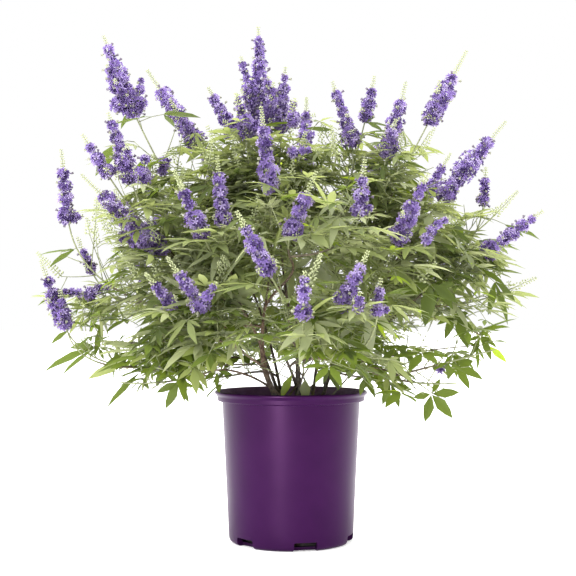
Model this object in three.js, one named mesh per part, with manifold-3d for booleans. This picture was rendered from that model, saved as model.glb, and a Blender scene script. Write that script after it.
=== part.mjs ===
// A flowering chaste tree: a shrub of several woody stems in a round nursery pot.
// Millimetres. +Z is up, the front of the plant faces -Y, and the origin is the middle of the
// pot's flat underside.

import * as THREE from "three";
import { mergeVertices } from "three/addons/utils/BufferGeometryUtils.js";
import Module from "manifold-3d";

const wasm = await Module();
wasm.setup();

// Pot
const POT_HEIGHT = 222;
const RIM_RADIUS = 114;
const BODY_TOP_RADIUS = 103;
const FOOT_RADIUS = 92;
const WALL = 2.2;
const RIM_DEPTH = 10;
const SHOULDER_DEPTH = 26;
const FLOOR = 3;
const FOOT_RING_HEIGHT = 15;
const FOOT_RING_WIDTH = 18;
const FOOT_ROUNDING = 4;
const POT_FACETS = 32;
const NOTCHES = 6;
const FIRST_NOTCH = 283;
const NOTCH_WIDTH = 34;
const NOTCH_HEIGHT = 12;
const NOTCH_DEPTH = 9;

// Potting mix
const SOIL_LEVEL = 197;
const CLEARANCE = 0.35;

// Stems stand round the root crown: azimuth and distance from the middle, radius at the ground,
// and lean as they leave it. Azimuth 0 is +X, 90 is the back and 270 the front.
const STEMS = {
  stem_main: { azimuth: 205, offset: 14, radius: 5, lean: 50 },
  stem_left: { azimuth: 132, offset: 15, radius: 2.6, lean: 30 },
  stem_crown: { azimuth: 40, offset: 12, radius: 2.6, lean: 14 },
  stem_right: { azimuth: 348, offset: 40, radius: 2.5, lean: 24 },
  stem_front: { azimuth: 300, offset: 17, radius: 2.2, lean: 20 },
  stem_back_left: { azimuth: 112, offset: 34, radius: 2.3, lean: 16 },
  stem_back_right: { azimuth: 45, offset: 42, radius: 2.3, lean: 16 },
  stem_back: { azimuth: 80, offset: 46, radius: 2.3, lean: 16 },
};
const STEM_TIP_RADIUS = 1.6;
const STEM_SIDES = 6;
const STEM_STEPS = 7;
const FLARE = 0.45;
const FLARE_HEIGHT = 22;
const BOUGH_RADIUS = 1.8;
const BOUGH_TIP_RADIUS = 1.35;
const BOUGH_SIDES = 5;
const BOUGH_STEPS = 4;
const STEM_DEPTH = 4;
const STEM_PULL = 0.33;
const BOUGH_PULL = 0.3;

// Foliage. Each mass grows on one limb: a stem's own tip where fork is 1, or else a bough that
// leaves the stem at that share of its length. Its shoots are given by the tip of each one:
// azimuth, reach from the pot's axis, height, lean from upright, veer of that lean from the
// azimuth, and the length of the flower spike that ends the shoot, or 0 for leaves alone. A mass
// whose root isn't half way to its first spike has its own share as rise, and nudge moves a root.
const MASSES = {
  crest_left: {
    stem: "stem_left", fork: 1,
    shoots: [[193, 270, 736, 22, 0, 118], [170, 225, 712, 34, 0, 140]],
  },
  shoulder_left: {
    stem: "stem_left", fork: 0.62,
    shoots: [[205, 283, 617, 20, 0, 98], [204, 318, 585, 34, 0, 62]],
  },
  flank_left: {
    stem: "stem_left", fork: 0.45,
    shoots: [[180, 343, 577, 6, 0, 103], [174, 330, 455, 24, 0, 58]],
  },
  front_left_high: {
    stem: "stem_main", fork: 0.74,
    shoots: [[206, 339, 537, 48, 0, 150]],
  },
  low_left: {
    stem: "stem_left", fork: 0.27,
    shoots: [[186, 366, 416, 20, 0, 100], [190, 340, 372, 10, 0, 55]],
  },
  low_front_left: {
    stem: "stem_main", fork: 0.34,
    shoots: [[240, 312, 405, 52, 0, 95], [229, 290, 388, 48, 0, 60]],
  },
  front_left: {
    stem: "stem_main", fork: 0.5,
    shoots: [[238, 272, 511, 38, 0, 100], [240, 200, 548, 10, 0, 88]],
  },
  top_left: {
    stem: "stem_crown", fork: 0.8,
    shoots: [[156, 150, 688, 31, 0, 84], [215, 96, 658, 12, 0, 62]],
  },
  crown: {
    stem: "stem_crown", fork: 1,
    shoots: [[190, 30, 768, 2, 0, 165], [195, 78, 721, 16, 0, 75], [250, 24, 704, 6, 60, 90]],
  },
  front_high: {
    stem: "stem_main", fork: 1, nudge: [-21, 10, 0],
    shoots: [[258, 194, 611, 26, 0, 112]],
  },
  low_front: {
    stem: "stem_front", fork: 1,
    shoots: [[259, 306, 461, 36, -34, 90], [274, 350, 380, 32, 0, 58]],
  },
  low_front_right: {
    stem: "stem_front", fork: 0.5,
    shoots: [[286, 322, 407, 34, 30, 78], [291, 308, 378, 12, 0, 42]],
  },
  front: {
    stem: "stem_main", fork: 0.9, rise: 0.84,
    shoots: [[278, 232, 520, 26, 50, 85], [296, 222, 539, 12, 0, 70]],
  },
  top_right: {
    stem: "stem_right", fork: 0.8,
    shoots: [[9, 123, 693, 12, 0, 66], [336, 52, 682, 18, 200, 94]],
  },
  crest_right: {
    stem: "stem_right", fork: 1,
    shoots: [[0, 265, 733, 28, 0, 120], [345, 175, 678, 15, 0, 110]],
  },
  shoulder_right: {
    stem: "stem_right", fork: 0.64,
    shoots: [[353, 319, 612, 40, 0, 137], [8, 304, 564, 4, 0, 54], [14, 372, 532, 46, 0, 57]],
  },
  flank_right: {
    stem: "stem_right", fork: 0.42,
    shoots: [[354, 367, 497, 54, 0, 98], [0, 369, 391, 66, 0, 44]],
  },
  front_right: {
    stem: "stem_right", fork: 0.52,
    shoots: [[312, 271, 522, 32, 0, 100]],
  },
  skirt_right: {
    stem: "stem_right", fork: 0.24, nudge: [0, 0, 30],
    shoots: [[330, 262, 240, 84, 0, 0], [346, 298, 284, 74, 0, 0]],
  },
  rim_right: {
    stem: "stem_right", fork: 0.1, nudge: [0, 0, 16],
    shoots: [[318, 158, 272, 76, 0, 0]],
  },
  skirt_left: {
    stem: "stem_main", fork: 0.22, nudge: [0, 0, 30],
    shoots: [[206, 262, 240, 84, 0, 0], [226, 258, 264, 76, 0, 0]],
  },
  back_left_high: {
    stem: "stem_back_left", fork: 1,
    shoots: [[130, 235, 640, 26, 0, 110], [150, 290, 560, 36, 0, 90]],
  },
  back_high: {
    stem: "stem_back", fork: 1,
    shoots: [[80, 150, 694, 10, 0, 120], [98, 214, 640, 24, 0, 90]],
  },
  back_right_high: {
    stem: "stem_back_right", fork: 1,
    shoots: [[48, 240, 650, 26, 0, 110], [28, 296, 600, 34, 0, 96]],
  },
  back_left: {
    stem: "stem_back_left", fork: 0.55,
    shoots: [[146, 350, 470, 42, 0, 105], [128, 312, 520, 28, 0, 88]],
  },
  back: {
    stem: "stem_back", fork: 0.55,
    shoots: [[98, 330, 480, 36, 0, 110], [80, 338, 408, 48, 0, 84]],
  },
  back_right: {
    stem: "stem_back_right", fork: 0.55,
    shoots: [[36, 352, 480, 42, 0, 108], [56, 334, 408, 48, 0, 80]],
  },
  skirt_back_left: {
    stem: "stem_back_left", fork: 0.25,
    shoots: [[150, 290, 272, 72, 0, 0], [126, 276, 290, 70, 0, 0]],
  },
  skirt_back_right: {
    stem: "stem_back_right", fork: 0.25,
    shoots: [[38, 292, 272, 72, 0, 0], [68, 280, 290, 70, 0, 0]],
  },
};
const FOOT_OF_CROWN = new THREE.Vector3(0, 0, 205);
const FORK_SHARE = 0.5;
const SIDE_SHOOT_SHARE = 0.22;
const SHOOT_RADIUS = 1.3;
const SHOOT_TIP_RADIUS = 0.9;
const SHOOT_STEPS = 4;
const TWIG_SIDES = 3;
const SITE_SPACING = 28;
const SPACE_MARGIN = 2.8;
const LIMB_MARGIN = 2.5;
const LIMB_SAMPLES = 24;
const OVER_RIM = 4;
const BESIDE_RIM = 5;

// Leaves: a hand of five leaflets on a stalk. Each stands as large as its place allows.
const LEAF_SPACING = 28;
const HUB_SPACING = 83;
const HAND_SIZES = [1.1, 0.86, 0.68, 0.52];
const HAND_TILTS = [0.5, 1.1, 2];
const CROWN_WIDTH = 796;
const CROWN_DEPTH = 700;
const LOWEST_LEAF = 202;
const LOWEST_OVER_POT = 232;
const SKIRT_REACH = 240;
const SKIRT_RISE = 1;
const STALK_LENGTH = 34;
const STALK_RADIUS = 1.1;
const LEAFLET_LENGTH = 96;
const LEAFLET_WIDTH = 0.34;
const LEAFLET_THICKNESS = 2.6;
const LEAFLET_WIDEST = 0.45;
const LEAFLET_DROOP = 0.2;
const OUTER_VALLEY = 38;
const VALLEY_REACH = 5;
const FIVE_LEAFLETS = [
  { angle: -82, share: 0.5 },
  { angle: -38, share: 0.84 },
  { angle: 0, share: 1 },
  { angle: 38, share: 0.84 },
  { angle: 82, share: 0.5 },
];
const THREE_LEAFLETS = [
  { angle: -46, share: 0.84 },
  { angle: 0, share: 1 },
  { angle: 46, share: 0.84 },
];

// Flower spikes: whorls of blossom that shrink towards a slim tip of buds.
const SPIKE_BASE_GIRTH = 7;
const SPIKE_GIRTH_SHARE = 0.085;
const SPIKE_SIDES = 5;
const WHORL_SPACING = 38;
const BUD_SHARE = 0.3;
const BUD_RADIUS = 2.6;
const WHORL_TAPER = 0.75;
const WHORL_RISE = 0.7;

const COLOURS = {
  pot: { color: 0x4a2658, roughness: 0.42 },
  mix: { color: 0x3b2a1f, roughness: 0.95 },
  bark: { color: 0x5b4636, roughness: 0.85 },
  foliage: { color: 0x6f8a4e, roughness: 0.6 },
};

// A number from 0 to 1 that depends only on the two keys.
function chance(key, step) {
  const wave = Math.sin(key * 127.1 + step * 311.7) * 43758.5453;
  return wave - Math.floor(wave);
}

function spread(key, step, amount) {
  return (chance(key, step) * 2 - 1) * amount;
}

function heading(azimuth, lean) {
  const turn = THREE.MathUtils.degToRad(azimuth);
  const tilt = THREE.MathUtils.degToRad(lean);
  return new THREE.Vector3(
    Math.sin(tilt) * Math.cos(turn),
    Math.sin(tilt) * Math.sin(turn),
    Math.cos(tilt),
  );
}

function polar(azimuth, reach, height) {
  return heading(azimuth, 90).multiplyScalar(reach).setZ(height);
}

// Solids. A closed three.js geometry becomes a manifold solid once its vertices are shared.
function solidOf(geometry) {
  const bare = geometry.clone();
  bare.deleteAttribute("normal");
  bare.deleteAttribute("uv");
  const merged = mergeVertices(bare, 1e-4);
  const kept = [];
  for (let i = 0; i < merged.index.count; i += 3) {
    const corners = [0, 1, 2].map((k) => merged.index.getX(i + k));
    if (new Set(corners).size === 3) kept.push(...corners);
  }
  const solid = makeSolid(merged.attributes.position.array, kept);
  if (solid.volume() > 0) return solid;
  return makeSolid(merged.attributes.position.array, kept.reverse());
}

function makeSolid(vertProperties, triangles) {
  return new wasm.Manifold(
    new wasm.Mesh({ numProp: 3, vertProperties, triVerts: new Uint32Array(triangles) }),
  );
}

function largestPiece(solid) {
  const pieces = solid.decompose();
  return pieces.reduce((best, piece) => (piece.volume() > best.volume() ? piece : best));
}

function fuse(solids) {
  return largestPiece(wasm.Manifold.union(solids).simplify(0.02));
}

function meshOf(name, solid, look) {
  const { vertProperties, triVerts, numProp } = solid.getMesh();
  const positions = new Float32Array((vertProperties.length / numProp) * 3);
  for (let i = 0; i < positions.length / 3; i += 1) {
    positions.set(vertProperties.subarray(i * numProp, i * numProp + 3), i * 3);
  }
  const geometry = new THREE.BufferGeometry();
  geometry.setAttribute("position", new THREE.BufferAttribute(positions, 3));
  geometry.setIndex(new THREE.BufferAttribute(triVerts, 1));
  geometry.computeVertexNormals();
  const mesh = new THREE.Mesh(geometry, new THREE.MeshStandardMaterial(COLOURS[look]));
  mesh.name = name;
  return mesh;
}

// A tapering limb: a cylinder whose rings are carried along a curve. radii has one per ring.
function limbSolid(curve, radii, sides) {
  const steps = radii.length - 1;
  const cylinder = new THREE.CylinderGeometry(1, 1, 1, sides, steps);
  const frames = curve.computeFrenetFrames(steps, false);
  const points = curve.getSpacedPoints(steps);
  const position = cylinder.attributes.position;
  const corner = new THREE.Vector3();
  for (let i = 0; i < position.count; i += 1) {
    corner.fromBufferAttribute(position, i);
    const ring = Math.round((corner.y + 0.5) * steps);
    const placed = points[ring].clone();
    placed.addScaledVector(frames.normals[ring], corner.x * radii[ring]);
    placed.addScaledVector(frames.binormals[ring], corner.z * radii[ring]);
    position.setXYZ(i, placed.x, placed.y, placed.z);
  }
  return solidOf(cylinder);
}

function taper(from, to, steps) {
  return Array.from({ length: steps + 1 }, (_, i) => from + ((to - from) * i) / steps);
}

// Pot and potting mix
function revolve(profile) {
  const points = profile.map(([radius, height]) => new THREE.Vector2(radius, height));
  return solidOf(new THREE.LatheGeometry(points, POT_FACETS).rotateX(Math.PI / 2));
}

function bodyRadius(height) {
  const share = height / (POT_HEIGHT - RIM_DEPTH);
  return FOOT_RADIUS + (BODY_TOP_RADIUS - FOOT_RADIUS) * share;
}

function potSolid() {
  const ringTop = FOOT_RING_HEIGHT;
  const ringInner = FOOT_RADIUS - FOOT_RING_WIDTH;
  const underRim = POT_HEIGHT - RIM_DEPTH;
  const shoulder = POT_HEIGHT - SHOULDER_DEPTH;
  const shell = revolve([
    [0, 0],
    [FOOT_RADIUS - FOOT_ROUNDING, 0],
    [bodyRadius(FOOT_ROUNDING), FOOT_ROUNDING],
    [bodyRadius(shoulder) - 0.8, shoulder - 2],
    [bodyRadius(shoulder) + 0.6, shoulder],
    [BODY_TOP_RADIUS + 0.6, underRim],
    [RIM_RADIUS - 3, underRim],
    [RIM_RADIUS - 1.6, underRim + 4],
    [RIM_RADIUS, POT_HEIGHT - 2],
    [RIM_RADIUS - 2, POT_HEIGHT],
    [BODY_TOP_RADIUS + 1, POT_HEIGHT - 1],
    [BODY_TOP_RADIUS - WALL, underRim - 2],
    [bodyRadius(ringTop) - WALL, ringTop],
    [ringInner + 2, ringTop],
    [ringInner, FLOOR],
    [0, FLOOR],
  ]);
  return cutNotches(shell);
}

function cutNotches(shell) {
  let pot = shell;
  for (let i = 0; i < NOTCHES; i += 1) {
    const block = new THREE.BoxGeometry(NOTCH_DEPTH * 2, NOTCH_WIDTH, NOTCH_HEIGHT * 2);
    block.translate(FOOT_RADIUS + 1, 0, 0);
    block.rotateZ(THREE.MathUtils.degToRad(FIRST_NOTCH + (360 / NOTCHES) * i));
    pot = pot.subtract(solidOf(block));
  }
  return pot;
}

function mixSolid() {
  const gap = CLEARANCE;
  const underRim = POT_HEIGHT - RIM_DEPTH - 2;
  const inner = (height) => {
    const low = bodyRadius(FOOT_RING_HEIGHT) - WALL;
    const high = BODY_TOP_RADIUS - WALL;
    const share = (height - FOOT_RING_HEIGHT) / (underRim - FOOT_RING_HEIGHT);
    return low + (high - low) * share - gap;
  };
  const ringInner = FOOT_RADIUS - FOOT_RING_WIDTH;
  return revolve([
    [0, FLOOR + gap],
    [ringInner - gap, FLOOR + gap],
    [ringInner + 2 - gap, FOOT_RING_HEIGHT + gap],
    [inner(FOOT_RING_HEIGHT + gap), FOOT_RING_HEIGHT + gap],
    [inner(SOIL_LEVEL), SOIL_LEVEL],
    [0, SOIL_LEVEL],
  ]);
}

// The path of each shoot: a bend from its root to the throat, where the spike starts, and the
// straight spike. Side shoots leave the first one.
function plotShoots(mass) {
  const paths = [];
  for (const [azimuth, reach, height, lean, veer, spike] of mass.shoots) {
    const tip = polar(azimuth, reach, height);
    const way = heading(azimuth + veer, lean);
    const throat = tip.clone().addScaledVector(way, -spike);
    const root = paths.length
      ? paths[0].curve.getPointAt(SIDE_SHOOT_SHARE * paths.length)
      : FOOT_OF_CROWN.clone().lerp(throat, mass.rise ?? FORK_SHARE);
    if (!paths.length && mass.nudge) root.add(new THREE.Vector3(...mass.nudge));
    const bend = throat.clone().addScaledVector(way, -0.5 * throat.distanceTo(root));
    const curve = new THREE.QuadraticBezierCurve3(root, bend, throat);
    paths.push({ curve, throat, tip, way, spike });
  }
  return paths;
}

function limbName(name, mass) {
  return mass.fork === 1 ? mass.stem : "bough_" + name;
}

// The limbs' centre lines. A stem rises from the ground to the root of the mass at its own tip.
function plotStem(name, root, arrival) {
  const { azimuth, offset, lean } = STEMS[name];
  const base = polar(azimuth, offset, SOIL_LEVEL - STEM_DEPTH);
  const reach = base.distanceTo(root);
  return new THREE.CubicBezierCurve3(
    base,
    base.clone().addScaledVector(heading(azimuth, lean), reach * STEM_PULL),
    root.clone().addScaledVector(arrival, -reach * STEM_PULL),
    root,
  );
}

function plotBough(stemCurve, fork, root, arrival) {
  const start = stemCurve.getPointAt(fork);
  const reach = start.distanceTo(root);
  const along = stemCurve.getTangentAt(fork);
  const out = root.clone().sub(start).normalize();
  return new THREE.CubicBezierCurve3(
    start,
    start.clone().addScaledVector(along.add(out).normalize(), reach * BOUGH_PULL),
    root.clone().addScaledVector(arrival, -reach * BOUGH_PULL),
    root,
  );
}

function stemRadii(radius, length) {
  return taper(radius, STEM_TIP_RADIUS, STEM_STEPS).map((plain, i) => {
    const above = (length * i) / STEM_STEPS;
    return plain * (1 + FLARE * Math.exp(-above / FLARE_HEIGHT));
  });
}

// Where a mass may grow: nearer to its own shoots than to any other mass's, clear of the limbs
// and outside the pot.
const shootsOf = {};
const sites = [];
for (const [name, mass] of Object.entries(MASSES)) {
  shootsOf[name] = plotShoots(mass);
  for (const { curve, throat, tip } of shootsOf[name]) {
    const steps = Math.ceil(curve.getLength() / SITE_SPACING);
    const points = [...curve.getSpacedPoints(steps), throat.clone().lerp(tip, 0.5), tip];
    sites.push(...points.map((point) => ({ name, point })));
  }
}

function inOwnSpace(name, point) {
  let own = Infinity;
  let other = Infinity;
  for (const site of sites) {
    const distance = site.point.distanceTo(point);
    if (site.name === name) own = Math.min(own, distance);
    else other = Math.min(other, distance);
  }
  return own + SPACE_MARGIN < other;
}

const limbs = {};
for (const [name, mass] of Object.entries(MASSES).filter((entry) => entry[1].fork === 1)) {
  const { curve } = shootsOf[name][0];
  const line = plotStem(mass.stem, curve.getPointAt(0), curve.getTangentAt(0));
  const { radius } = STEMS[mass.stem];
  limbs[mass.stem] = { curve: line, radii: stemRadii(radius, line.getLength()) };
}
for (const [name, mass] of Object.entries(MASSES).filter((entry) => entry[1].fork < 1)) {
  const { curve } = shootsOf[name][0];
  const parent = limbs[mass.stem].curve;
  const line = plotBough(parent, mass.fork, curve.getPointAt(0), curve.getTangentAt(0));
  limbs["bough_" + name] = {
    curve: line,
    radii: taper(BOUGH_RADIUS, BOUGH_TIP_RADIUS, BOUGH_STEPS),
    parent: mass.stem,
  };
}
const limbPoints = Object.values(limbs).flatMap(({ curve, radii }) =>
  curve.getSpacedPoints(LIMB_SAMPLES).map((point) => ({ point, radius: radii[0] })),
);

function clearOfLimbs(point) {
  return limbPoints.every((limb) => limb.point.distanceTo(point) > limb.radius + LIMB_MARGIN);
}

function clearOfPot(point) {
  const high = point.z > POT_HEIGHT + OVER_RIM;
  return high || Math.hypot(point.x, point.y) > RIM_RADIUS + BESIDE_RIM;
}

// The crown's underside is level near the pot and rises towards its edge.
function lowestLeaf(point) {
  if (Math.abs(point.x) < RIM_RADIUS - 4) return LOWEST_OVER_POT;
  const beyond = Math.hypot(point.x, point.y) - SKIRT_REACH;
  return LOWEST_LEAF + Math.max(0, beyond) * SKIRT_RISE;
}

function insideCrown(point) {
  const across = point.x / (CROWN_WIDTH / 2);
  const deep = point.y / (CROWN_DEPTH / 2);
  return Math.hypot(across, deep) < 1 && point.z > lowestLeaf(point);
}

function free(name, points) {
  return points.every(
    (point) =>
      insideCrown(point) && clearOfPot(point) && clearOfLimbs(point) && inOwnSpace(name, point),
  );
}

// One hand of leaflets. forward is the way it points, and stalkRoot is inside the twig. A valley
// lies between each leaflet and the next, and one on the outside of the first and of the last.
function handPoints(stalkRoot, hub, forward, roll, size) {
  const side = new THREE.Vector3(0, 0, 1).cross(forward).normalize();
  side.applyAxisAngle(forward, roll);
  const up = forward.clone().cross(side).normalize();
  const at = (angle, distance, lift) => {
    const turn = THREE.MathUtils.degToRad(angle);
    return hub
      .clone()
      .addScaledVector(forward, Math.cos(turn) * distance)
      .addScaledVector(side, Math.sin(turn) * distance)
      .addScaledVector(up, lift);
  };
  const plan = size > HAND_SIZES[1] ? FIVE_LEAFLETS : THREE_LEAFLETS;
  const leaflets = plan.map(({ angle, share }) => {
    const length = LEAFLET_LENGTH * size * share;
    const half = THREE.MathUtils.radToDeg(LEAFLET_WIDTH / 2 / LEAFLET_WIDEST);
    return {
      left: at(angle - half, length * LEAFLET_WIDEST, -LEAFLET_DROOP * length * 0.2),
      tip: at(angle, length, -LEAFLET_DROOP * length),
      right: at(angle + half, length * LEAFLET_WIDEST, -LEAFLET_DROOP * length * 0.2),
    };
  });
  const angles = plan.map(({ angle }) => angle);
  const between = angles.slice(1).map((angle, i) => (angle + angles[i]) / 2);
  const outer = angles.at(-1) + OUTER_VALLEY;
  const valleys = [-outer, ...between, outer].map((angle) => at(angle, VALLEY_REACH, 0));
  const top = at(0, 0, LEAFLET_THICKNESS / 2);
  const bottom = at(0, 0, -LEAFLET_THICKNESS / 2);
  const stalk = [
    stalkRoot.clone().addScaledVector(side, -STALK_RADIUS),
    stalkRoot.clone().addScaledVector(up, STALK_RADIUS),
    stalkRoot.clone().addScaledVector(side, STALK_RADIUS),
    stalkRoot.clone().addScaledVector(up, -STALK_RADIUS),
  ];
  return { leaflets, valleys, top, bottom, stalk, berth: HUB_SPACING * size };
}

function handSolid({ leaflets, valleys, top, bottom, stalk }) {
  const corners = [top, bottom, ...valleys, ...stalk];
  const firstValley = 2;
  const lastValley = firstValley + leaflets.length;
  const [s0, s1, s2, s3] = [1, 2, 3, 4].map((i) => lastValley + i);
  const faces = [];
  leaflets.forEach(({ left, tip, right }, i) => {
    const l = corners.length;
    corners.push(left, tip, right);
    const [v, w] = [firstValley + i, firstValley + i + 1];
    faces.push([0, v, l], [0, l, l + 1], [0, l + 1, l + 2], [0, l + 2, w]);
    faces.push([1, l, v], [1, l + 1, l], [1, l + 2, l + 1], [1, w, l + 2]);
  });
  faces.push([0, lastValley, s2], [0, s2, s1], [0, s1, s0], [0, s0, firstValley]);
  faces.push([1, s2, lastValley], [1, s3, s2], [1, s0, s3], [1, firstValley, s0]);
  faces.push([s0, s1, s2], [s0, s2, s3]);
  const flat = new Float32Array(corners.flatMap((corner) => corner.toArray()));
  const solid = makeSolid(flat, faces.flat());
  return solid.volume() > 0 ? solid : makeSolid(flat, faces.flat().reverse());
}

function handSamples({ leaflets, top }) {
  const stations = [0.25, 0.5, 0.75, 1];
  return leaflets.flatMap(({ left, tip, right }) => [
    left,
    right,
    left.clone().lerp(tip, 0.5),
    right.clone().lerp(tip, 0.5),
    ...stations.map((share) => top.clone().lerp(tip, share)),
  ]);
}

// Hands stand along a shoot, each turned from the last, and reach out and a little down.
function handsAlong(name, key, path, hands) {
  const length = path.curve.getLength();
  const count = Math.max(1, Math.floor(length / LEAF_SPACING));
  for (let i = 0; i < count; i += 1) {
    const share = Math.min((i + 0.6) / count, 0.97);
    const stalkRoot = path.curve.getPointAt(share);
    const along = path.curve.getTangentAt(share);
    for (const half of [0, 180]) {
      const turn = half + i * 90 + spread(key, i * 7 + half, 25);
      const hand = fitHand(name, stalkRoot, along, turn, key * 13 + i * 5 + half);
      if (hand && hands.every((other) => hand.top.distanceTo(other.top) > hand.berth)) {
        hands.push(hand);
      }
    }
  }
}

function fitHand(name, stalkRoot, along, turn, key) {
  for (const size of HAND_SIZES) {
    for (const tilt of HAND_TILTS) {
      const hand = plotHand(stalkRoot, along, turn, tilt, size, key);
      const reach = [stalkRoot.clone().lerp(hand.top, 0.5), hand.top, ...handSamples(hand)];
      if (free(name, reach)) return hand;
    }
  }
  return null;
}

function plotHand(stalkRoot, along, turn, tilt, size, key) {
  const across = new THREE.Vector3(0, 0, 1).cross(along);
  if (across.lengthSq() < 1e-3) across.set(1, 0, 0);
  across.normalize().applyAxisAngle(along, THREE.MathUtils.degToRad(turn));
  const stalkWay = across.clone().addScaledVector(along, tilt).normalize();
  const hub = stalkRoot.clone().addScaledVector(stalkWay, STALK_LENGTH * size);
  const forward = stalkWay.clone().setZ(stalkWay.z * 0.5 - 0.25 - 0.2 * chance(key, 4));
  const roll = THREE.MathUtils.degToRad(spread(key, 5, 25));
  return handPoints(stalkRoot, hub, forward.normalize(), roll, size);
}

function spikeSolid({ throat, tip, way, spike }) {
  const girth = SPIKE_BASE_GIRTH + SPIKE_GIRTH_SHARE * spike;
  const whorls = THREE.MathUtils.clamp(Math.round(spike / WHORL_SPACING), 2, 3);
  const profile = [new THREE.Vector2(0, 0)];
  for (let i = 0; i < whorls; i += 1) {
    const low = ((1 - BUD_SHARE) * i) / whorls;
    const high = low + ((1 - BUD_SHARE) * WHORL_RISE) / whorls;
    const full = girth * (1 - WHORL_TAPER * low);
    profile.push(new THREE.Vector2(full * 0.5, spike * low + 0.5));
    profile.push(new THREE.Vector2(full, spike * (low + high) * 0.5));
  }
  profile.push(new THREE.Vector2(BUD_RADIUS, spike * (1 - BUD_SHARE)));
  profile.push(new THREE.Vector2(BUD_RADIUS * 0.6, spike * 0.96));
  profile.push(new THREE.Vector2(0, throat.distanceTo(tip)));
  const geometry = new THREE.LatheGeometry(profile, SPIKE_SIDES);
  const turn = new THREE.Quaternion().setFromUnitVectors(new THREE.Vector3(0, 1, 0), way);
  geometry.applyQuaternion(turn).translate(throat.x, throat.y, throat.z);
  return solidOf(geometry);
}

// The shoot's own stem, carried a little way into the spike.
function shootSolid({ curve, way, spike }, index) {
  const start = curve.getPointAt(0);
  if (index === 0) start.addScaledVector(curve.getTangentAt(0), CLEARANCE);
  const end = curve.v2.clone().addScaledVector(way, Math.min(spike * 0.2, 8));
  const line = new THREE.QuadraticBezierCurve3(start, curve.v1, end);
  const from = index === 0 ? SHOOT_RADIUS : SHOOT_RADIUS * 0.85;
  return limbSolid(line, taper(from, SHOOT_TIP_RADIUS, SHOOT_STEPS), TWIG_SIDES);
}

function massSolid(name, key) {
  const solids = [];
  const hands = [];
  shootsOf[name].forEach((path, index) => {
    solids.push(shootSolid(path, index));
    if (path.spike) solids.push(spikeSolid(path));
    handsAlong(name, key + index * 0.37, path, hands);
  });
  return fuse([...solids, ...hands.map(handSolid)]);
}

// Limbs are cut clear of the ground or of the stem that carries them.
function belowGround() {
  const block = new THREE.BoxGeometry(300, 300, 40);
  block.translate(0, 0, SOIL_LEVEL + CLEARANCE - 20);
  return solidOf(block);
}

function limbPiece(limb) {
  if (!limb.parent) {
    return limbSolid(limb.curve, limb.radii, STEM_SIDES).subtract(belowGround());
  }
  const parent = limbs[limb.parent];
  const wider = parent.radii.map((radius) => radius + CLEARANCE * 1.2);
  const plain = limbSolid(limb.curve, limb.radii, BOUGH_SIDES);
  return largestPiece(plain.subtract(limbSolid(parent.curve, wider, STEM_SIDES)));
}

const plant = new THREE.Group();
plant.name = "potted_chaste_tree";
plant.add(meshOf("pot", potSolid(), "pot"));
plant.add(meshOf("potting_mix", mixSolid(), "mix"));
for (const [name, limb] of Object.entries(limbs)) {
  plant.add(meshOf(name, limbPiece(limb), "bark"));
}
Object.keys(MASSES).forEach((name, i) => {
  plant.add(meshOf("foliage_" + name, massSolid(name, i + 1), "foliage"));
});

export default plant;
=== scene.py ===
# %% [markdown]
# # A chaste tree in a nursery pot
# A chaste tree is a shrub with leaves like open hands and upright spikes of small violet flowers.
# This one is young: several woody stems rise from one root in a round moulded pot. The packed
# model already holds every size and place, so it is loaded first, and each piece is built on it.

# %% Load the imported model
import math

import bmesh
import bpy
import numpy as np
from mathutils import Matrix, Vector


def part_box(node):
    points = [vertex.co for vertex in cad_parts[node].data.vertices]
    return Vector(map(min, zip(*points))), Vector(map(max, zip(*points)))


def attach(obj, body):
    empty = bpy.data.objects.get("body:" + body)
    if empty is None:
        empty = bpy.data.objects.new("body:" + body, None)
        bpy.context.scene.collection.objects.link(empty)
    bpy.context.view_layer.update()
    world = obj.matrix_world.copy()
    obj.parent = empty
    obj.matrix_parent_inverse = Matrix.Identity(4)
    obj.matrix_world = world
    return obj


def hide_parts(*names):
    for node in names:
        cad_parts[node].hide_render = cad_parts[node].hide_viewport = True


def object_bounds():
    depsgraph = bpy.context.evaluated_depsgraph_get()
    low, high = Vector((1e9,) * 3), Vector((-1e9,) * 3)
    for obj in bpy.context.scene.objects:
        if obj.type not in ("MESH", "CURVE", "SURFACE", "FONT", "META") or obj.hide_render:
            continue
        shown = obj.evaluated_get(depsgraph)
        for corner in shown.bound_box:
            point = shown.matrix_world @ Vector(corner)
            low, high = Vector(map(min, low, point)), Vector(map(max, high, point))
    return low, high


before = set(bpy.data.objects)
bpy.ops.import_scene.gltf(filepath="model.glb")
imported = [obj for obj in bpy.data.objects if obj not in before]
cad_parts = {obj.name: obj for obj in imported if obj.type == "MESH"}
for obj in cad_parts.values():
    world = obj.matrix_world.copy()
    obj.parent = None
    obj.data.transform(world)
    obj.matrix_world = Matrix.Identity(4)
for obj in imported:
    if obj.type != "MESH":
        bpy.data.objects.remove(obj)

MM = 0.001
cad_box = [list(corner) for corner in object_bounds()]
print("model box in metres:", cad_box)

# %% [markdown]
# ## The camera
# The view is level with the middle of the crown and looks up a very little, so the pot's rim
# shows as a thin ellipse. A long lens from well back keeps the near and far leaves alike in size.

# %% Camera
CAMERA_DISTANCE = 1.650
CAMERA_HEIGHT = 0.327
CAMERA_SIDE = -0.0045
PITCH_UP = math.radians(1.67)
LENS = 68.75
SENSOR = 36.0


def place_camera():
    bpy.ops.object.camera_add(
        location=(CAMERA_SIDE, -CAMERA_DISTANCE, CAMERA_HEIGHT),
        rotation=(math.radians(90) + PITCH_UP, 0, 0),
    )
    camera = bpy.context.object
    camera.data.lens = LENS
    camera.data.sensor_width = SENSOR
    bpy.context.scene.camera = camera
    return camera


camera = place_camera()
print("camera at", tuple(round(value, 3) for value in camera.location))

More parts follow.
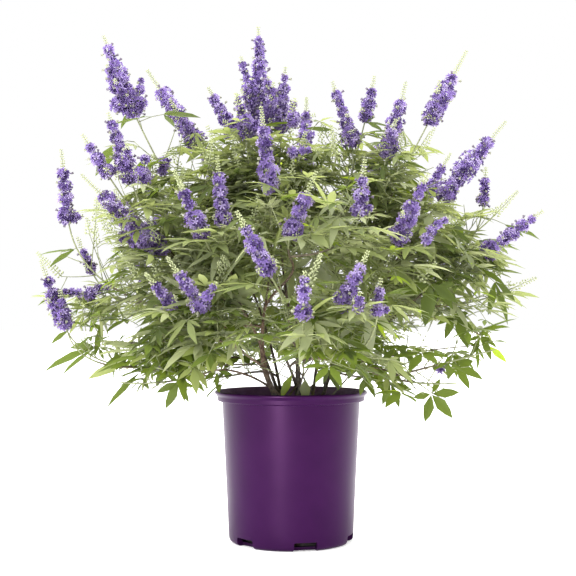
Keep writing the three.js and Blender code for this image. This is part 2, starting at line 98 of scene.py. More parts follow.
# %% [markdown]
# ## Light and floor
# The plant stands in a bright studio: white all round, a large soft light from the left, one from
# above for the top of the crown, and a weak one from the right. The white surroundings brighten
# the pot's two edges and fill the shade among the leaves. They are dimmer on the viewer's side, so
# the pot's front keeps its depth, and a tall narrow light draws the soft upright sheen on it. The
# floor is one pale sheet.

# %% Light and floor
FLOOR_SIZE = 60.0
SURROUNDING_LIGHT = 2.65
FRONT_LIGHT = 0.34
KEY_POWER = 84
FILL_POWER = 5
TOP_POWER = 42
STRIP_POWER = 215
FLOOR_GLOW = 0.25


def add_soft_light(name, place, aim, width, height, power):
    bpy.ops.object.light_add(type="AREA", location=place)
    light = bpy.context.object
    light.name = name
    light.data.shape = "RECTANGLE"
    light.data.size = width
    light.data.size_y = height
    light.data.energy = power
    light.rotation_euler = (Vector(aim) - Vector(place)).to_track_quat("-Z", "Y").to_euler()
    return light


def light_world():
    """White to the camera; as light, dim on the viewer's side and bright behind and above."""
    world = bpy.data.worlds.new("white_studio")
    bpy.context.scene.world = world
    world.use_nodes = True
    nodes = world.node_tree.nodes
    links = world.node_tree.links
    nodes.clear()
    seen = nodes.new("ShaderNodeBackground")
    seen.inputs["Color"].default_value = (1, 1, 1, 1)
    seen.inputs["Strength"].default_value = 1.0
    lit = nodes.new("ShaderNodeBackground")
    lit.inputs["Color"].default_value = (1, 1, 1, 1)
    place = nodes.new("ShaderNodeTexCoord")
    axes = nodes.new("ShaderNodeSeparateXYZ")
    links.new(place.outputs["Generated"], axes.inputs["Vector"])
    brighter = nodes.new("ShaderNodeMath")
    brighter.operation = "MAXIMUM"
    for number, (axis, low, high) in enumerate((("Y", -1.0, 0.25), ("Z", 0.3, 0.75))):
        rise = nodes.new("ShaderNodeMapRange")
        rise.inputs["From Min"].default_value = low
        rise.inputs["From Max"].default_value = high
        rise.inputs["To Min"].default_value = FRONT_LIGHT
        rise.inputs["To Max"].default_value = SURROUNDING_LIGHT
        links.new(axes.outputs[axis], rise.inputs["Value"])
        links.new(rise.outputs["Result"], brighter.inputs[number])
    links.new(brighter.outputs["Value"], lit.inputs["Strength"])
    path = nodes.new("ShaderNodeLightPath")
    mix = nodes.new("ShaderNodeMixShader")
    out = nodes.new("ShaderNodeOutputWorld")
    links.new(path.outputs["Is Camera Ray"], mix.inputs["Fac"])
    links.new(lit.outputs["Background"], mix.inputs[1])
    links.new(seen.outputs["Background"], mix.inputs[2])
    links.new(mix.outputs["Shader"], out.inputs["Surface"])


def lay_floor():
    bpy.ops.mesh.primitive_plane_add(size=FLOOR_SIZE, location=(0, 0, 0))
    floor = bpy.context.object
    floor.name = "studio_floor"
    paint = bpy.data.materials.new("pale_floor")
    paint.use_nodes = True
    shader = paint.node_tree.nodes["Principled BSDF"]
    shader.inputs["Base Color"].default_value = (0.96, 0.96, 0.96, 1)
    shader.inputs["Roughness"].default_value = 0.9
    shader.inputs["Specular IOR Level"].default_value = 0.1
    shader.inputs["Emission Color"].default_value = (1, 1, 1, 1)
    shader.inputs["Emission Strength"].default_value = FLOOR_GLOW
    floor.data.materials.append(paint)


bpy.context.scene.view_settings.view_transform = "Standard"
light_world()
add_soft_light("key_light", (-2.3, -1.6, 2.5), (0, 0, 0.4), 2.6, 2.2, KEY_POWER)
add_soft_light("fill_light", (2.2, -1.5, 1.0), (0, 0, 0.4), 1.4, 1.4, FILL_POWER)
add_soft_light("top_light", (0.1, 0.6, 2.4), (0, 0, 0.5), 1.5, 1.5, TOP_POWER)
strip = add_soft_light("strip_light", (-0.72, -2.1, 0.3), (0, 0, 0.2), 0.16, 1.8, STRIP_POWER)
strip.visible_diffuse = False
lay_floor()
print("floor side in metres:", FLOOR_SIZE)

# %% [markdown]
# ## Small helpers
# Blender's edit operators act on whatever is selected, so a step always starts by selecting
# exactly what it needs: here by a test on each vertex, edge or face. Many small things, such as
# leaves, are built from arrays of numbers instead, because ten thousand of them would be far too
# many to model one by one.

# %% Helpers
def deselect_all():
    active = bpy.context.object
    if active and active.mode != "OBJECT":
        bpy.ops.object.mode_set(mode="OBJECT")
    bpy.ops.object.select_all(action="DESELECT")


def pick(kind, test):
    """Select the vertices, edges or faces of the mesh in edit mode that pass a test."""
    bpy.ops.mesh.select_mode(type=kind)
    bpy.ops.mesh.select_all(action="DESELECT")
    data = bpy.context.object.data
    mesh = bmesh.from_edit_mesh(data)
    parts = {"VERT": mesh.verts, "EDGE": mesh.edges, "FACE": mesh.faces}[kind]
    for part in parts:
        part.select_set(test(part))
    bmesh.update_edit_mesh(data)


def select_only(piece):
    deselect_all()
    piece.select_set(True)
    bpy.context.view_layer.objects.active = piece


def apply_place(piece):
    """Put the origin at the middle of the frame and keep the shape where it is."""
    select_only(piece)
    bpy.ops.object.transform_apply(location=True, rotation=True, scale=True)
    return piece


def apply_modifiers(piece):
    select_only(piece)
    for name in [modifier.name for modifier in piece.modifiers]:
        bpy.ops.object.modifier_apply(modifier=name)


def piece_from_arrays(name, vertices, triangles):
    """A mesh piece from rows of millimetres and rows of three vertex numbers."""
    mesh = bpy.data.meshes.new(name)
    mesh.from_pydata((vertices * MM).tolist(), [], triangles.tolist())
    mesh.update()
    piece = bpy.data.objects.new(name, mesh)
    bpy.context.scene.collection.objects.link(piece)
    return piece


def read_template(piece):
    """A small model's vertices and triangles, with the model itself removed."""
    deselect_all()
    piece.data.calc_loop_triangles()
    points = np.array([vertex.co for vertex in piece.data.vertices])
    faces = np.array([corner.vertices for corner in piece.data.loop_triangles])
    bpy.data.objects.remove(piece)
    return points, faces


# %% [markdown]
# ## Shared grain
# Plastic, bark, leaf and soil all have a fine uneven surface. One node group makes it from two
# noises on the object's own coordinates, so it stays put when the plant turns. Each material sets
# the scale and decides how far the shade moves its colour and the height moves its light.

# %% The fine grain group
def build_grain_group():
    group = bpy.data.node_groups.new("fine_grain", "ShaderNodeTree")
    group.interface.new_socket("Scale", in_out="INPUT", socket_type="NodeSocketFloat")
    group.interface.new_socket("Shade", in_out="OUTPUT", socket_type="NodeSocketFloat")
    group.interface.new_socket("Height", in_out="OUTPUT", socket_type="NodeSocketFloat")
    nodes = group.nodes
    links = group.links
    entry = nodes.new("NodeGroupInput")
    leave = nodes.new("NodeGroupOutput")
    place = nodes.new("ShaderNodeTexCoord")
    broad = nodes.new("ShaderNodeTexNoise")
    broad.inputs["Detail"].default_value = 3
    fine = nodes.new("ShaderNodeTexNoise")
    fine.inputs["Detail"].default_value = 2
    finer = nodes.new("ShaderNodeMath")
    finer.operation = "MULTIPLY"
    finer.inputs[1].default_value = 5
    links.new(place.outputs["Object"], broad.inputs["Vector"])
    links.new(place.outputs["Object"], fine.inputs["Vector"])
    links.new(entry.outputs["Scale"], broad.inputs["Scale"])
    links.new(entry.outputs["Scale"], finer.inputs[0])
    links.new(finer.outputs["Value"], fine.inputs["Scale"])
    links.new(broad.outputs["Fac"], leave.inputs["Shade"])
    links.new(fine.outputs["Fac"], leave.inputs["Height"])
    return group


grain_group = build_grain_group()


def start_material(name, roughness):
    material = bpy.data.materials.new(name)
    material.use_nodes = True
    shader = material.node_tree.nodes["Principled BSDF"]
    shader.inputs["Roughness"].default_value = roughness
    return material, shader


def add_grain(material, scale):
    grain = material.node_tree.nodes.new("ShaderNodeGroup")
    grain.node_tree = grain_group
    grain.inputs["Scale"].default_value = scale
    return grain


def add_bump(material, shader, height, strength, distance):
    nodes = material.node_tree.nodes
    links = material.node_tree.links
    bump = nodes.new("ShaderNodeBump")
    bump.inputs["Strength"].default_value = strength
    bump.inputs["Distance"].default_value = distance
    links.new(height, bump.inputs["Height"])
    links.new(bump.outputs["Normal"], shader.inputs["Normal"])


def shade_between(material, shader, amount, stops):
    """Feed Base Color from a ramp: stops are pairs of a position and a colour."""
    nodes = material.node_tree.nodes
    links = material.node_tree.links
    ramp = nodes.new("ShaderNodeValToRGB")
    ramp.color_ramp.elements[0].position = stops[0][0]
    ramp.color_ramp.elements[0].color = stops[0][1]
    ramp.color_ramp.elements[1].position = stops[-1][0]
    ramp.color_ramp.elements[1].color = stops[-1][1]
    for position, colour in stops[1:-1]:
        ramp.color_ramp.elements.new(position).color = colour
    links.new(amount, ramp.inputs["Fac"])
    links.new(ramp.outputs["Color"], shader.inputs["Base Color"])


def make_mottled(name, roughness, scale, stops):
    """A material whose colour follows the grain, with its shader and its grain."""
    material, shader = start_material(name, roughness)
    grain = add_grain(material, scale)
    shade_between(material, shader, grain.outputs["Shade"], stops)
    return material, shader, grain


print("grain group sockets:", [item.name for item in grain_group.interface.items_tree])

# %% [markdown]
# ## The pot
# The pot is one thin moulding: a flat underside, a softly rounded foot, a wall that widens
# upwards, a small step where pots stack, and a rim that turns outwards. It could be a profile
# spun round an axis. Here it starts as a disc, and each ring is an extrude followed by a resize,
# so the shape can be followed from the ground up, over the rim and down inside.

# %% Pot sizes
pot_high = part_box("pot")[1]
mix_low, mix_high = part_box("potting_mix")
POT_SIDES = 96
POT_HEIGHT = pot_high.z / MM
RIM_RADIUS = pot_high.x / MM
SOIL_LEVEL = mix_high.z / MM
WALL = 2.2
FOOT_RADIUS = 92
BODY_TOP_RADIUS = 103
RIM_DEPTH = 10
SHOULDER_HEIGHT = 204
BAND_RADIUS = 110
BAND_FOOT = 206.5
LIP_ROUNDING = 2.8
FOOT_ROUNDING = 7
FLOOR_LEVEL = 3


def wall_radius(height):
    share = height / (POT_HEIGHT - RIM_DEPTH)
    return FOOT_RADIUS + (BODY_TOP_RADIUS - FOOT_RADIUS) * share


def rounded(middle, radius, start, end, steps):
    """Points of an arc about a middle point, from a start angle to an end angle in degrees."""
    angles = np.radians(np.linspace(start, end, steps))
    return [(middle[0] + radius * math.cos(a), middle[1] + radius * math.sin(a)) for a in angles]


def pot_profile():
    """The wall's section as radius and height, from the underside over the rim to the floor."""
    under_rim = POT_HEIGHT - RIM_DEPTH
    foot_middle = (wall_radius(FOOT_ROUNDING) - FOOT_ROUNDING, FOOT_ROUNDING)
    lip_middle = (RIM_RADIUS - LIP_ROUNDING, POT_HEIGHT - LIP_ROUNDING)
    rings = rounded(foot_middle, FOOT_ROUNDING, -90, -5, 6)
    rings += [(wall_radius(z), z) for z in (24, 60, 105, 150, 185, BAND_FOOT - 2)]
    rings += [(wall_radius(BAND_FOOT), BAND_FOOT), (BAND_RADIUS - 1.0, BAND_FOOT + 0.8)]
    rings += [(BAND_RADIUS, BAND_FOOT + 2), (BAND_RADIUS + 0.3, POT_HEIGHT - 8)]
    rings += rounded(lip_middle, LIP_ROUNDING, -70, 110, 9)
    rings += [(RIM_RADIUS - 7.0, POT_HEIGHT - 1.4), (BODY_TOP_RADIUS + 0.8, POT_HEIGHT - 5.0)]
    rings += [(BODY_TOP_RADIUS - 1.4, under_rim - 2)]
    rings += [(wall_radius(z) - WALL, z) for z in (SHOULDER_HEIGHT, 150, 80, 20)]
    rings += [(wall_radius(8) - WALL - 8, FLOOR_LEVEL + 2), (60, FLOOR_LEVEL)]
    return rings


def raise_rings(rings):
    """Extrude the selected disc from ring to ring and end on the last one."""
    radius, height = rings[0]
    for next_radius, next_height in rings[1:]:
        lift = (next_height - height) * MM
        bpy.ops.mesh.extrude_region_move(TRANSFORM_OT_translate={"value": (0, 0, lift)})
        grow = next_radius / radius
        middle = (0, 0, next_height * MM)
        bpy.ops.transform.resize(value=(grow, grow, 1), center_override=middle)
        radius, height = next_radius, next_height


def raise_from_disc(name, sides, rings):
    """Start a piece as a disc on its first ring, and leave it raised and in edit mode."""
    deselect_all()
    radius, height = rings[0]
    bpy.ops.mesh.primitive_circle_add(
        vertices=sides, radius=radius * MM, fill_type="NGON", location=(0, 0, height * MM)
    )
    piece = bpy.context.object
    piece.name = name
    apply_place(piece)
    bpy.ops.object.mode_set(mode="EDIT")
    bpy.ops.mesh.select_all(action="SELECT")
    raise_rings(rings)
    return piece


def model_pot():
    pot = raise_from_disc("moulded_pot", POT_SIDES, pot_profile())
    bpy.ops.mesh.select_all(action="SELECT")
    bpy.ops.mesh.remove_doubles(threshold=0.00001)
    bpy.ops.mesh.normals_make_consistent(inside=False)
    bpy.ops.object.mode_set(mode="OBJECT")
    return pot


pot = model_pot()
print("pot rings:", len(pot_profile()), "faces:", len(pot.data.polygons))

# %% [markdown]
# ## Drain notches
# Six notches let water out where the wall meets the ground. Each is cut by a block with softened
# edges. The block is modelled once, copied round the foot, and one Boolean takes them all away.

# %% Notches
NOTCHES = 6
FIRST_NOTCH = 283
NOTCH_WIDTH = 34
NOTCH_HEIGHT = 13
NOTCH_DEPTH = 15
NOTCH_CORNER = 2.5


def model_notch_block(azimuth):
    deselect_all()
    turn = math.radians(azimuth)
    reach = (FOOT_RADIUS + 1) * MM
    bpy.ops.mesh.primitive_cube_add(
        size=1,
        location=(reach * math.cos(turn), reach * math.sin(turn), 0),
        rotation=(0, 0, turn),
        scale=(NOTCH_DEPTH * 2 * MM, NOTCH_WIDTH * MM, NOTCH_HEIGHT * 2 * MM),
    )
    block = apply_place(bpy.context.object)
    bpy.ops.object.mode_set(mode="EDIT")
    bpy.ops.mesh.select_all(action="SELECT")
    bpy.ops.mesh.bevel(offset=NOTCH_CORNER * MM, segments=3)
    bpy.ops.object.mode_set(mode="OBJECT")
    return block


def cut_notches(piece):
    blocks = [model_notch_block(FIRST_NOTCH + 360 / NOTCHES * i) for i in range(NOTCHES)]
    deselect_all()
    for block in blocks:
        block.select_set(True)
    bpy.context.view_layer.objects.active = blocks[0]
    bpy.ops.object.join()
    cutter = bpy.context.object
    cut = piece.modifiers.new("drain_notches", "BOOLEAN")
    cut.operation = "DIFFERENCE"
    cut.solver = "EXACT"
    cut.object = cutter
    apply_modifiers(piece)
    bpy.data.objects.remove(cutter)
    bpy.ops.object.shade_smooth_by_angle(angle=math.radians(32))


cut_notches(pot)
print("pot faces after the notches:", len(pot.data.polygons))

# %% [markdown]
# ## Moulded plastic
# The pot is coloured right through, with a satin skin that shows a faint unevenness from the
# mould. Its colour shifts only a little from place to place, its gloss rather more. Its inner
# wall above the mix is painted a lighter purple: painted light for the shade the crown casts there.

# %% Pot material
POT_PURPLES = [(0.3, (0.0255, 0.0034, 0.038, 1)), (0.7, (0.0305, 0.0043, 0.0445, 1))]
# The second purple is lighter than the pot's own: painted light for the shaded inner wall above the
# mix.
PAINTED_LIGHT_PURPLES = [(0.3, (0.075, 0.020, 0.100, 1)), (0.7, (0.130, 0.050, 0.155, 1))]
SMOOTHEST = 0.32
ROUGHEST = 0.44
# How far below the mix's top the painted light on the inner wall reaches, in millimetres.
PAINTED_LIGHT_DEPTH = 10


def make_pot_plastic():
    material, shader, grain = make_mottled("moulded_plastic", 0.36, 26, POT_PURPLES)
    shader.inputs["Specular IOR Level"].default_value = 0.12
    shader.inputs["Specular Tint"].default_value = (0.95, 0.45, 1, 1)
    nodes = material.node_tree.nodes
    gloss = nodes.new("ShaderNodeMapRange")
    gloss.inputs["To Min"].default_value = SMOOTHEST
    gloss.inputs["To Max"].default_value = ROUGHEST
    material.node_tree.links.new(grain.outputs["Shade"], gloss.inputs["Value"])
    material.node_tree.links.new(gloss.outputs["Result"], shader.inputs["Roughness"])
    add_bump(material, shader, grain.outputs["Height"], 0.12, 0.0004)
    return material


def paint_light_inside(piece):
    """Give the faces above the mix that look towards the pot's axis the second, lighter purple:
    painted light on the inner wall that the crown shades.
    """
    for face in piece.data.polygons:
        outward = face.center.x * face.normal.x + face.center.y * face.normal.y
        inside = outward < -0.3 * math.hypot(face.center.x, face.center.y)
        if inside and face.center.z > (SOIL_LEVEL - PAINTED_LIGHT_DEPTH) * MM:
            face.material_index = 1


pot.data.materials.append(make_pot_plastic())
# The second material is painted light: a lighter purple for the shaded inner wall.
pot.data.materials.append(make_mottled("painted_light_inside", 0.8, 60, PAINTED_LIGHT_PURPLES)[0])
paint_light_inside(pot)
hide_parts("pot")
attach(pot, "root")
# The count is of the inner faces that carry the painted light.
print("dusty faces:", sum(face.material_index for face in pot.data.polygons))

# %% [markdown]
# ## Potting mix
# The pot is filled almost to its rim with composted bark. Its top is lumpy, and loose chips of
# bark lie on it. The body of it is a disc raised like the pot, and its top is divided and
# roughened by a Displace modifier. The chips are one small model, copied many times.

# %% The mix
MIX_SIDES = 64
MIX_FOOT = 16
TOP_RINGS = (0.9, 0.85, 0.82, 0.78, 0.74, 0.68, 0.6, 0.5, 0.35)
LUMP_SIZE = 14
LUMP_HEIGHT = 9


def model_mix():
    """The mix just inside the pot's wall, its top drawn in ring by ring towards the middle."""
    low, high = mix_low.z / MM, SOIL_LEVEL - 2
    rings = [(70, low), (74, MIX_FOOT), (wall_radius(MIX_FOOT) - WALL - 0.5, MIX_FOOT)]
    rings += [(wall_radius(high) - WALL - 0.8, high), (wall_radius(high) - WALL - 4, high + 1.4)]
    mix = raise_from_disc("bark_mix", MIX_SIDES, rings)
    for share in TOP_RINGS:
        bpy.ops.mesh.extrude_region_move()
        bpy.ops.transform.resize(value=(share, share, 1), center_override=(0, 0, 0))
    bpy.ops.mesh.select_all(action="SELECT")
    bpy.ops.mesh.normals_make_consistent(inside=False)
    bpy.ops.object.mode_set(mode="OBJECT")
    return mix


def roughen_top(mix):
    top = mix.vertex_groups.new(name="top")
    level = (SOIL_LEVEL - 1) * MM
    top.add([v.index for v in mix.data.vertices if v.co.z > level], 1.0, "REPLACE")
    lumps = bpy.data.textures.new("lumps", "CLOUDS")
    lumps.noise_scale = LUMP_SIZE * MM
    lift = mix.modifiers.new("lumpy_top", "DISPLACE")
    lift.texture = lumps
    lift.direction = "Z"
    lift.strength = LUMP_HEIGHT * MM
    lift.mid_level = 0.5
    lift.vertex_group = "top"
    apply_modifiers(mix)
    mix.vertex_groups.clear()


mix = model_mix()
roughen_top(mix)
print("mix faces:", len(mix.data.polygons))

# %% Mix material
MIX_BROWNS = [
    (0.3, (0.010, 0.006, 0.004, 1)),
    (0.55, (0.030, 0.018, 0.011, 1)),
    (0.8, (0.07, 0.045, 0.028, 1)),
]


def make_mix_material():
    material, shader, grain = make_mottled("composted_bark", 0.95, 160, MIX_BROWNS)
    add_bump(material, shader, grain.outputs["Height"], 0.7, 0.002)
    return material


mix.data.materials.append(make_mix_material())
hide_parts("potting_mix")
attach(mix, "root")
print("mix browns:", len(MIX_BROWNS))

# %% [markdown]
# ## A seeded rule
# The plant must come out the same each time, so nothing here is random. Each choice takes a
# number from 0 to 1 that depends only on two keys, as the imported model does.

# %% Chance, direction and curves
def chance(key, step):
    wave = math.sin(key * 127.1 + step * 311.7) * 43758.5453
    return wave - math.floor(wave)


def spread(key, step, amount):
    return (chance(key, step) * 2 - 1) * amount


def heading(azimuth, lean):
    """A unit direction from an azimuth and a lean from upright, in degrees."""
    turn = math.radians(azimuth)
    tilt = math.radians(lean)
    flat = math.sin(tilt)
    return np.array([flat * math.cos(turn), flat * math.sin(turn), math.cos(tilt)])


def polar(azimuth, reach, height):
    point = heading(azimuth, 90) * reach
    point[2] = height
    return point


def unit(vector):
    return vector / np.linalg.norm(vector)


def turned(vector, axis, degrees):
    """A vector turned about a unit axis."""
    angle = math.radians(degrees)
    across = np.cross(axis, vector)
    rest = axis * np.dot(axis, vector) * (1 - math.cos(angle))
    return vector * math.cos(angle) + across * math.sin(angle) + rest


CURVE_POINTS = 65
DENSE_POINTS = 300


def bend_curve(controls):
    """Evenly spaced points of the Bezier curve with these control points."""
    t = np.linspace(0, 1, DENSE_POINTS)[:, None]
    degree = len(controls) - 1
    dense = np.zeros((DENSE_POINTS, 3))
    for i, control in enumerate(controls):
        dense += math.comb(degree, i) * (1 - t) ** (degree - i) * t**i * control
    steps = np.linalg.norm(np.diff(dense, axis=0), axis=1)
    along = np.concatenate([[0], np.cumsum(steps)])
    wanted = np.linspace(0, along[-1], CURVE_POINTS)
    return np.column_stack([np.interp(wanted, along, dense[:, axis]) for axis in range(3)])


def point_at(curve, share):
    place = share * (len(curve) - 1)
    low = min(int(place), len(curve) - 2)
    return curve[low] + (curve[low + 1] - curve[low]) * (place - low)


def cut_path(curve, start, end, count):
    """Evenly spaced points of the stretch of a curve from one share of it to another."""
    return np.array([point_at(curve, share) for share in np.linspace(start, end, count)])


def way_at(curve, share):
    low = min(int(share * (len(curve) - 1)), len(curve) - 2)
    return unit(curve[low + 1] - curve[low])


def length_of(curve):
    return float(np.linalg.norm(np.diff(curve, axis=0), axis=1).sum())


print("the first three chances of key 1:", [round(chance(1, step), 3) for step in range(3)])

# %% [markdown]
# ## How the shrub grows
# Eight stems leave the root. Each carries masses of foliage, one at its tip and the others on
# boughs that fork from it. A mass is a few long shoots, and each shoot is given by its tip:
# azimuth, reach from the pot's axis, height, lean, veer of that lean, and the length of the
# flower spike that ends it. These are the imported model's own values, so the fine shoots here
# follow the same lines.

# %% Stems and masses
STEMS = {
    "stem_main": {"azimuth": 205, "offset": 14, "radius": 5, "lean": 50},
    "stem_left": {"azimuth": 132, "offset": 15, "radius": 2.6, "lean": 30},
    "stem_crown": {"azimuth": 40, "offset": 12, "radius": 2.6, "lean": 14},
    "stem_right": {"azimuth": 348, "offset": 40, "radius": 2.5, "lean": 24},
    "stem_front": {"azimuth": 300, "offset": 17, "radius": 2.2, "lean": 20},
    "stem_back_left": {"azimuth": 112, "offset": 34, "radius": 2.3, "lean": 16},
    "stem_back_right": {"azimuth": 45, "offset": 42, "radius": 2.3, "lean": 16},
    "stem_back": {"azimuth": 80, "offset": 46, "radius": 2.3, "lean": 16},
}
MASSES = {
    "crest_left": ("stem_left", 1, [(193, 270, 736, 22, 0, 118), (170, 225, 712, 34, 0, 140)]),
    "shoulder_left": ("stem_left", 0.62, [(205, 283, 617, 20, 0, 98), (204, 318, 585, 34, 0, 62)]),
    "flank_left": ("stem_left", 0.45, [(180, 343, 577, 6, 0, 103), (174, 330, 455, 24, 0, 58)]),
    "front_left_high": ("stem_main", 0.74, [(206, 339, 537, 48, 0, 150)]),
    "low_left": ("stem_left", 0.27, [(186, 366, 416, 20, 0, 100), (190, 340, 372, 10, 0, 55)]),
    "low_front_left": ("stem_main", 0.34, [(240, 312, 405, 52, 0, 95), (229, 290, 388, 48, 0, 60)]),
    "front_left": ("stem_main", 0.5, [(238, 272, 511, 38, 0, 100), (240, 200, 548, 10, 0, 88)]),
    "top_left": ("stem_crown", 0.8, [(156, 150, 688, 31, 0, 84), (215, 96, 658, 12, 0, 62)]),
    "crown": (
        "stem_crown", 1,
        [(190, 30, 768, 2, 0, 165), (195, 78, 721, 16, 0, 75), (250, 24, 704, 6, 60, 90)],
    ),
    "front_high": ("stem_main", 1, [(258, 194, 611, 26, 0, 112)]),
    "low_front": ("stem_front", 1, [(259, 306, 461, 36, -34, 90), (274, 350, 380, 32, 0, 58)]),
    "low_front_right": (
        "stem_front", 0.5, [(286, 322, 407, 34, 30, 78), (291, 308, 378, 12, 0, 42)],
    ),
    "front": ("stem_main", 0.9, [(278, 232, 520, 26, 50, 85), (296, 222, 539, 12, 0, 70)]),
    "top_right": ("stem_right", 0.8, [(9, 123, 693, 12, 0, 66), (336, 52, 682, 18, 200, 94)]),
    "crest_right": ("stem_right", 1, [(0, 265, 733, 28, 0, 120), (345, 175, 678, 15, 0, 110)]),
    "shoulder_right": (
        "stem_right", 0.64,
        [(353, 319, 612, 40, 0, 137), (8, 304, 564, 4, 0, 54), (14, 372, 532, 46, 0, 57)],
    ),
    "flank_right": ("stem_right", 0.42, [(354, 367, 497, 54, 0, 98), (0, 369, 391, 66, 0, 44)]),
    "front_right": ("stem_right", 0.52, [(312, 271, 522, 32, 0, 100)]),
    "skirt_right": ("stem_right", 0.24, [(330, 262, 240, 84, 0, 0), (346, 298, 284, 74, 0, 0)]),
    "rim_right": ("stem_right", 0.1, [(318, 158, 272, 76, 0, 0)]),
    "skirt_left": ("stem_main", 0.22, [(206, 262, 240, 84, 0, 0), (226, 258, 264, 76, 0, 0)]),
    "back_left_high": (
        "stem_back_left", 1, [(130, 235, 640, 26, 0, 110), (150, 290, 560, 36, 0, 90)],
    ),
    "back_high": ("stem_back", 1, [(80, 150, 694, 10, 0, 120), (98, 214, 640, 24, 0, 90)]),
    "back_right_high": (
        "stem_back_right", 1, [(48, 240, 650, 26, 0, 110), (28, 296, 600, 34, 0, 96)],
    ),
    "back_left": (
        "stem_back_left", 0.55, [(146, 350, 470, 42, 0, 105), (128, 312, 520, 28, 0, 88)],
    ),
    "back": ("stem_back", 0.55, [(98, 330, 480, 36, 0, 110), (80, 338, 408, 48, 0, 84)]),
    "back_right": (
        "stem_back_right", 0.55, [(36, 352, 480, 42, 0, 108), (56, 334, 408, 48, 0, 80)],
    ),
    "skirt_back_left": (
        "stem_back_left", 0.25, [(150, 290, 272, 72, 0, 0), (126, 276, 290, 70, 0, 0)],
    ),
    "skirt_back_right": (
        "stem_back_right", 0.25, [(38, 292, 272, 72, 0, 0), (68, 280, 290, 70, 0, 0)],
    ),
}
print("stems:", len(STEMS), "masses:", len(MASSES))

# %% Lines of the limbs and shoots
# A mass starts part of the way from the crown's foot to its throat, and a few are nudged.
FOOT_OF_CROWN = np.array([0.0, 0.0, 205.0])
FORK_SHARE = 0.5
SIDE_SHOOT_SHARE = 0.22
RISES = {"front": 0.84}
NUDGES = {
    "front_high": (-21, 10, 0),
    "skirt_right": (0, 0, 30),
    "rim_right": (0, 0, 16),
    "skirt_left": (0, 0, 30),
}
# The trunk swings a little towards the middle of the pot where it enters the mix.
TRUNK_SWING = 12


def plot_shoots(name, tips):
    """The path of each shoot of a mass, from its root to the throat where its spike starts."""
    shoots = []
    for azimuth, reach, height, lean, veer, spike in tips:
        tip = polar(azimuth, reach, height)
        way = heading(azimuth + veer, lean)
        throat = tip - way * spike
        if shoots:
            root = point_at(shoots[0]["curve"], SIDE_SHOOT_SHARE * len(shoots))
        else:
            rise = RISES.get(name, FORK_SHARE)
            root = FOOT_OF_CROWN + (throat - FOOT_OF_CROWN) * rise + NUDGES.get(name, (0, 0, 0))
        bend = throat - way * 0.5 * np.linalg.norm(throat - root)
        curve = bend_curve([root, bend, throat])
        shoots.append({
            "curve": curve, "throat": throat, "tip": tip, "way": way, "spike": spike,
            "place": (azimuth, reach),
        })
    return shoots


def plot_stem(name, shoot):
    """A stem's middle line, from the soil to the root of the mass at its tip."""
    stem = STEMS[name]
    base = polar(stem["azimuth"], stem["offset"], SOIL_LEVEL - 4)
    root = shoot["curve"][0]
    reach = np.linalg.norm(root - base)
    rise = base + heading(stem["azimuth"], stem["lean"]) * reach * 0.33
    return bend_curve([base, rise, root - way_at(shoot["curve"], 0) * reach * 0.33, root])


def plot_bough(stem_curve, fork, shoot):
    """A bough's middle line, from its fork on a stem to the root of its mass."""
    start = point_at(stem_curve, fork)
    root = shoot["curve"][0]
    reach = np.linalg.norm(root - start)
    leave = unit(way_at(stem_curve, fork) + unit(root - start))
    arrive = root - way_at(shoot["curve"], 0) * reach * 0.3
    return bend_curve([start, start + leave * reach * 0.3, arrive, root])


shoots_of = {name: plot_shoots(name, tips) for name, (stem, fork, tips) in MASSES.items()}
limbs = {}
for name, (stem, fork, tips) in MASSES.items():
    if fork == 1:
        limbs[stem] = plot_stem(stem, shoots_of[name][0])
from_foot = np.linspace(1, 0, CURVE_POINTS)[:, None]
limbs["stem_main"] = limbs["stem_main"] + np.array([TRUNK_SWING, 0, 0]) * from_foot**3
for name, (stem, fork, tips) in MASSES.items():
    if fork < 1:
        limbs["bough_" + name] = plot_bough(limbs[stem], fork, shoots_of[name][0])
print("limbs:", len(limbs), "shoots:", sum(len(group) for group in shoots_of.values()))

# %% Shifted spikes
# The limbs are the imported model's. Some spikes are set over a little from where its masses end,
# and each of their shoots bends away towards its end: the shift in millimetres, by the azimuth
# and reach of the tip.
SHIFTS = {
    (190, 30): (-20, 0, 0),
    (193, 270): (-10, 0, 4),
    (156, 150): (8, 0, 2),
    (9, 123): (6, 0, 6),
    (336, 52): (14, 0, 0),
    (353, 319): (0, 0, 8),
    (354, 367): (4, 0, -10),
    (180, 343): (-3, 0, 6),
    (186, 366): (-4, 0, 0),
    (259, 306): (-9, 0, 0),
    (274, 350): (-9, 0, 4),
    (286, 322): (5, 0, 4),
    (206, 339): (16, 0, -10),
    (238, 272): (-8, 0, 10),
}
for group in shoots_of.values():
    for shoot in group:
        shift = np.array(SHIFTS.get(shoot["place"], (0, 0, 0)), float)
        share = np.linspace(0, 1, CURVE_POINTS)[:, None]
        shoot["curve"] = shoot["curve"] + shift * share**2
        shoot["throat"] = shoot["throat"] + shift
        shoot["tip"] = shoot["tip"] + shift
print("shifted spikes:", len(SHIFTS))

# %% [markdown]
# ## The crown's limits
# A leaf that would hang below the crown's underside, touch the pot or reach outside the crown is
# left out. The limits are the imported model's.

# %% Limits
CROWN_WIDTH = 796
CROWN_DEPTH = 700
LOWEST_LEAF = 202
LOWEST_OVER_POT = 252
SKIRT_REACH = 240
SKIRT_RISE = 1.0


def lowest_leaf(point):
    """The height below which no leaf hangs: higher over the pot, and rising at the skirt's edge."""
    if abs(point[0]) < RIM_RADIUS - 4:
        return LOWEST_OVER_POT
    beyond = math.hypot(point[0], point[1]) - SKIRT_REACH
    return LOWEST_LEAF + max(0, beyond) * SKIRT_RISE


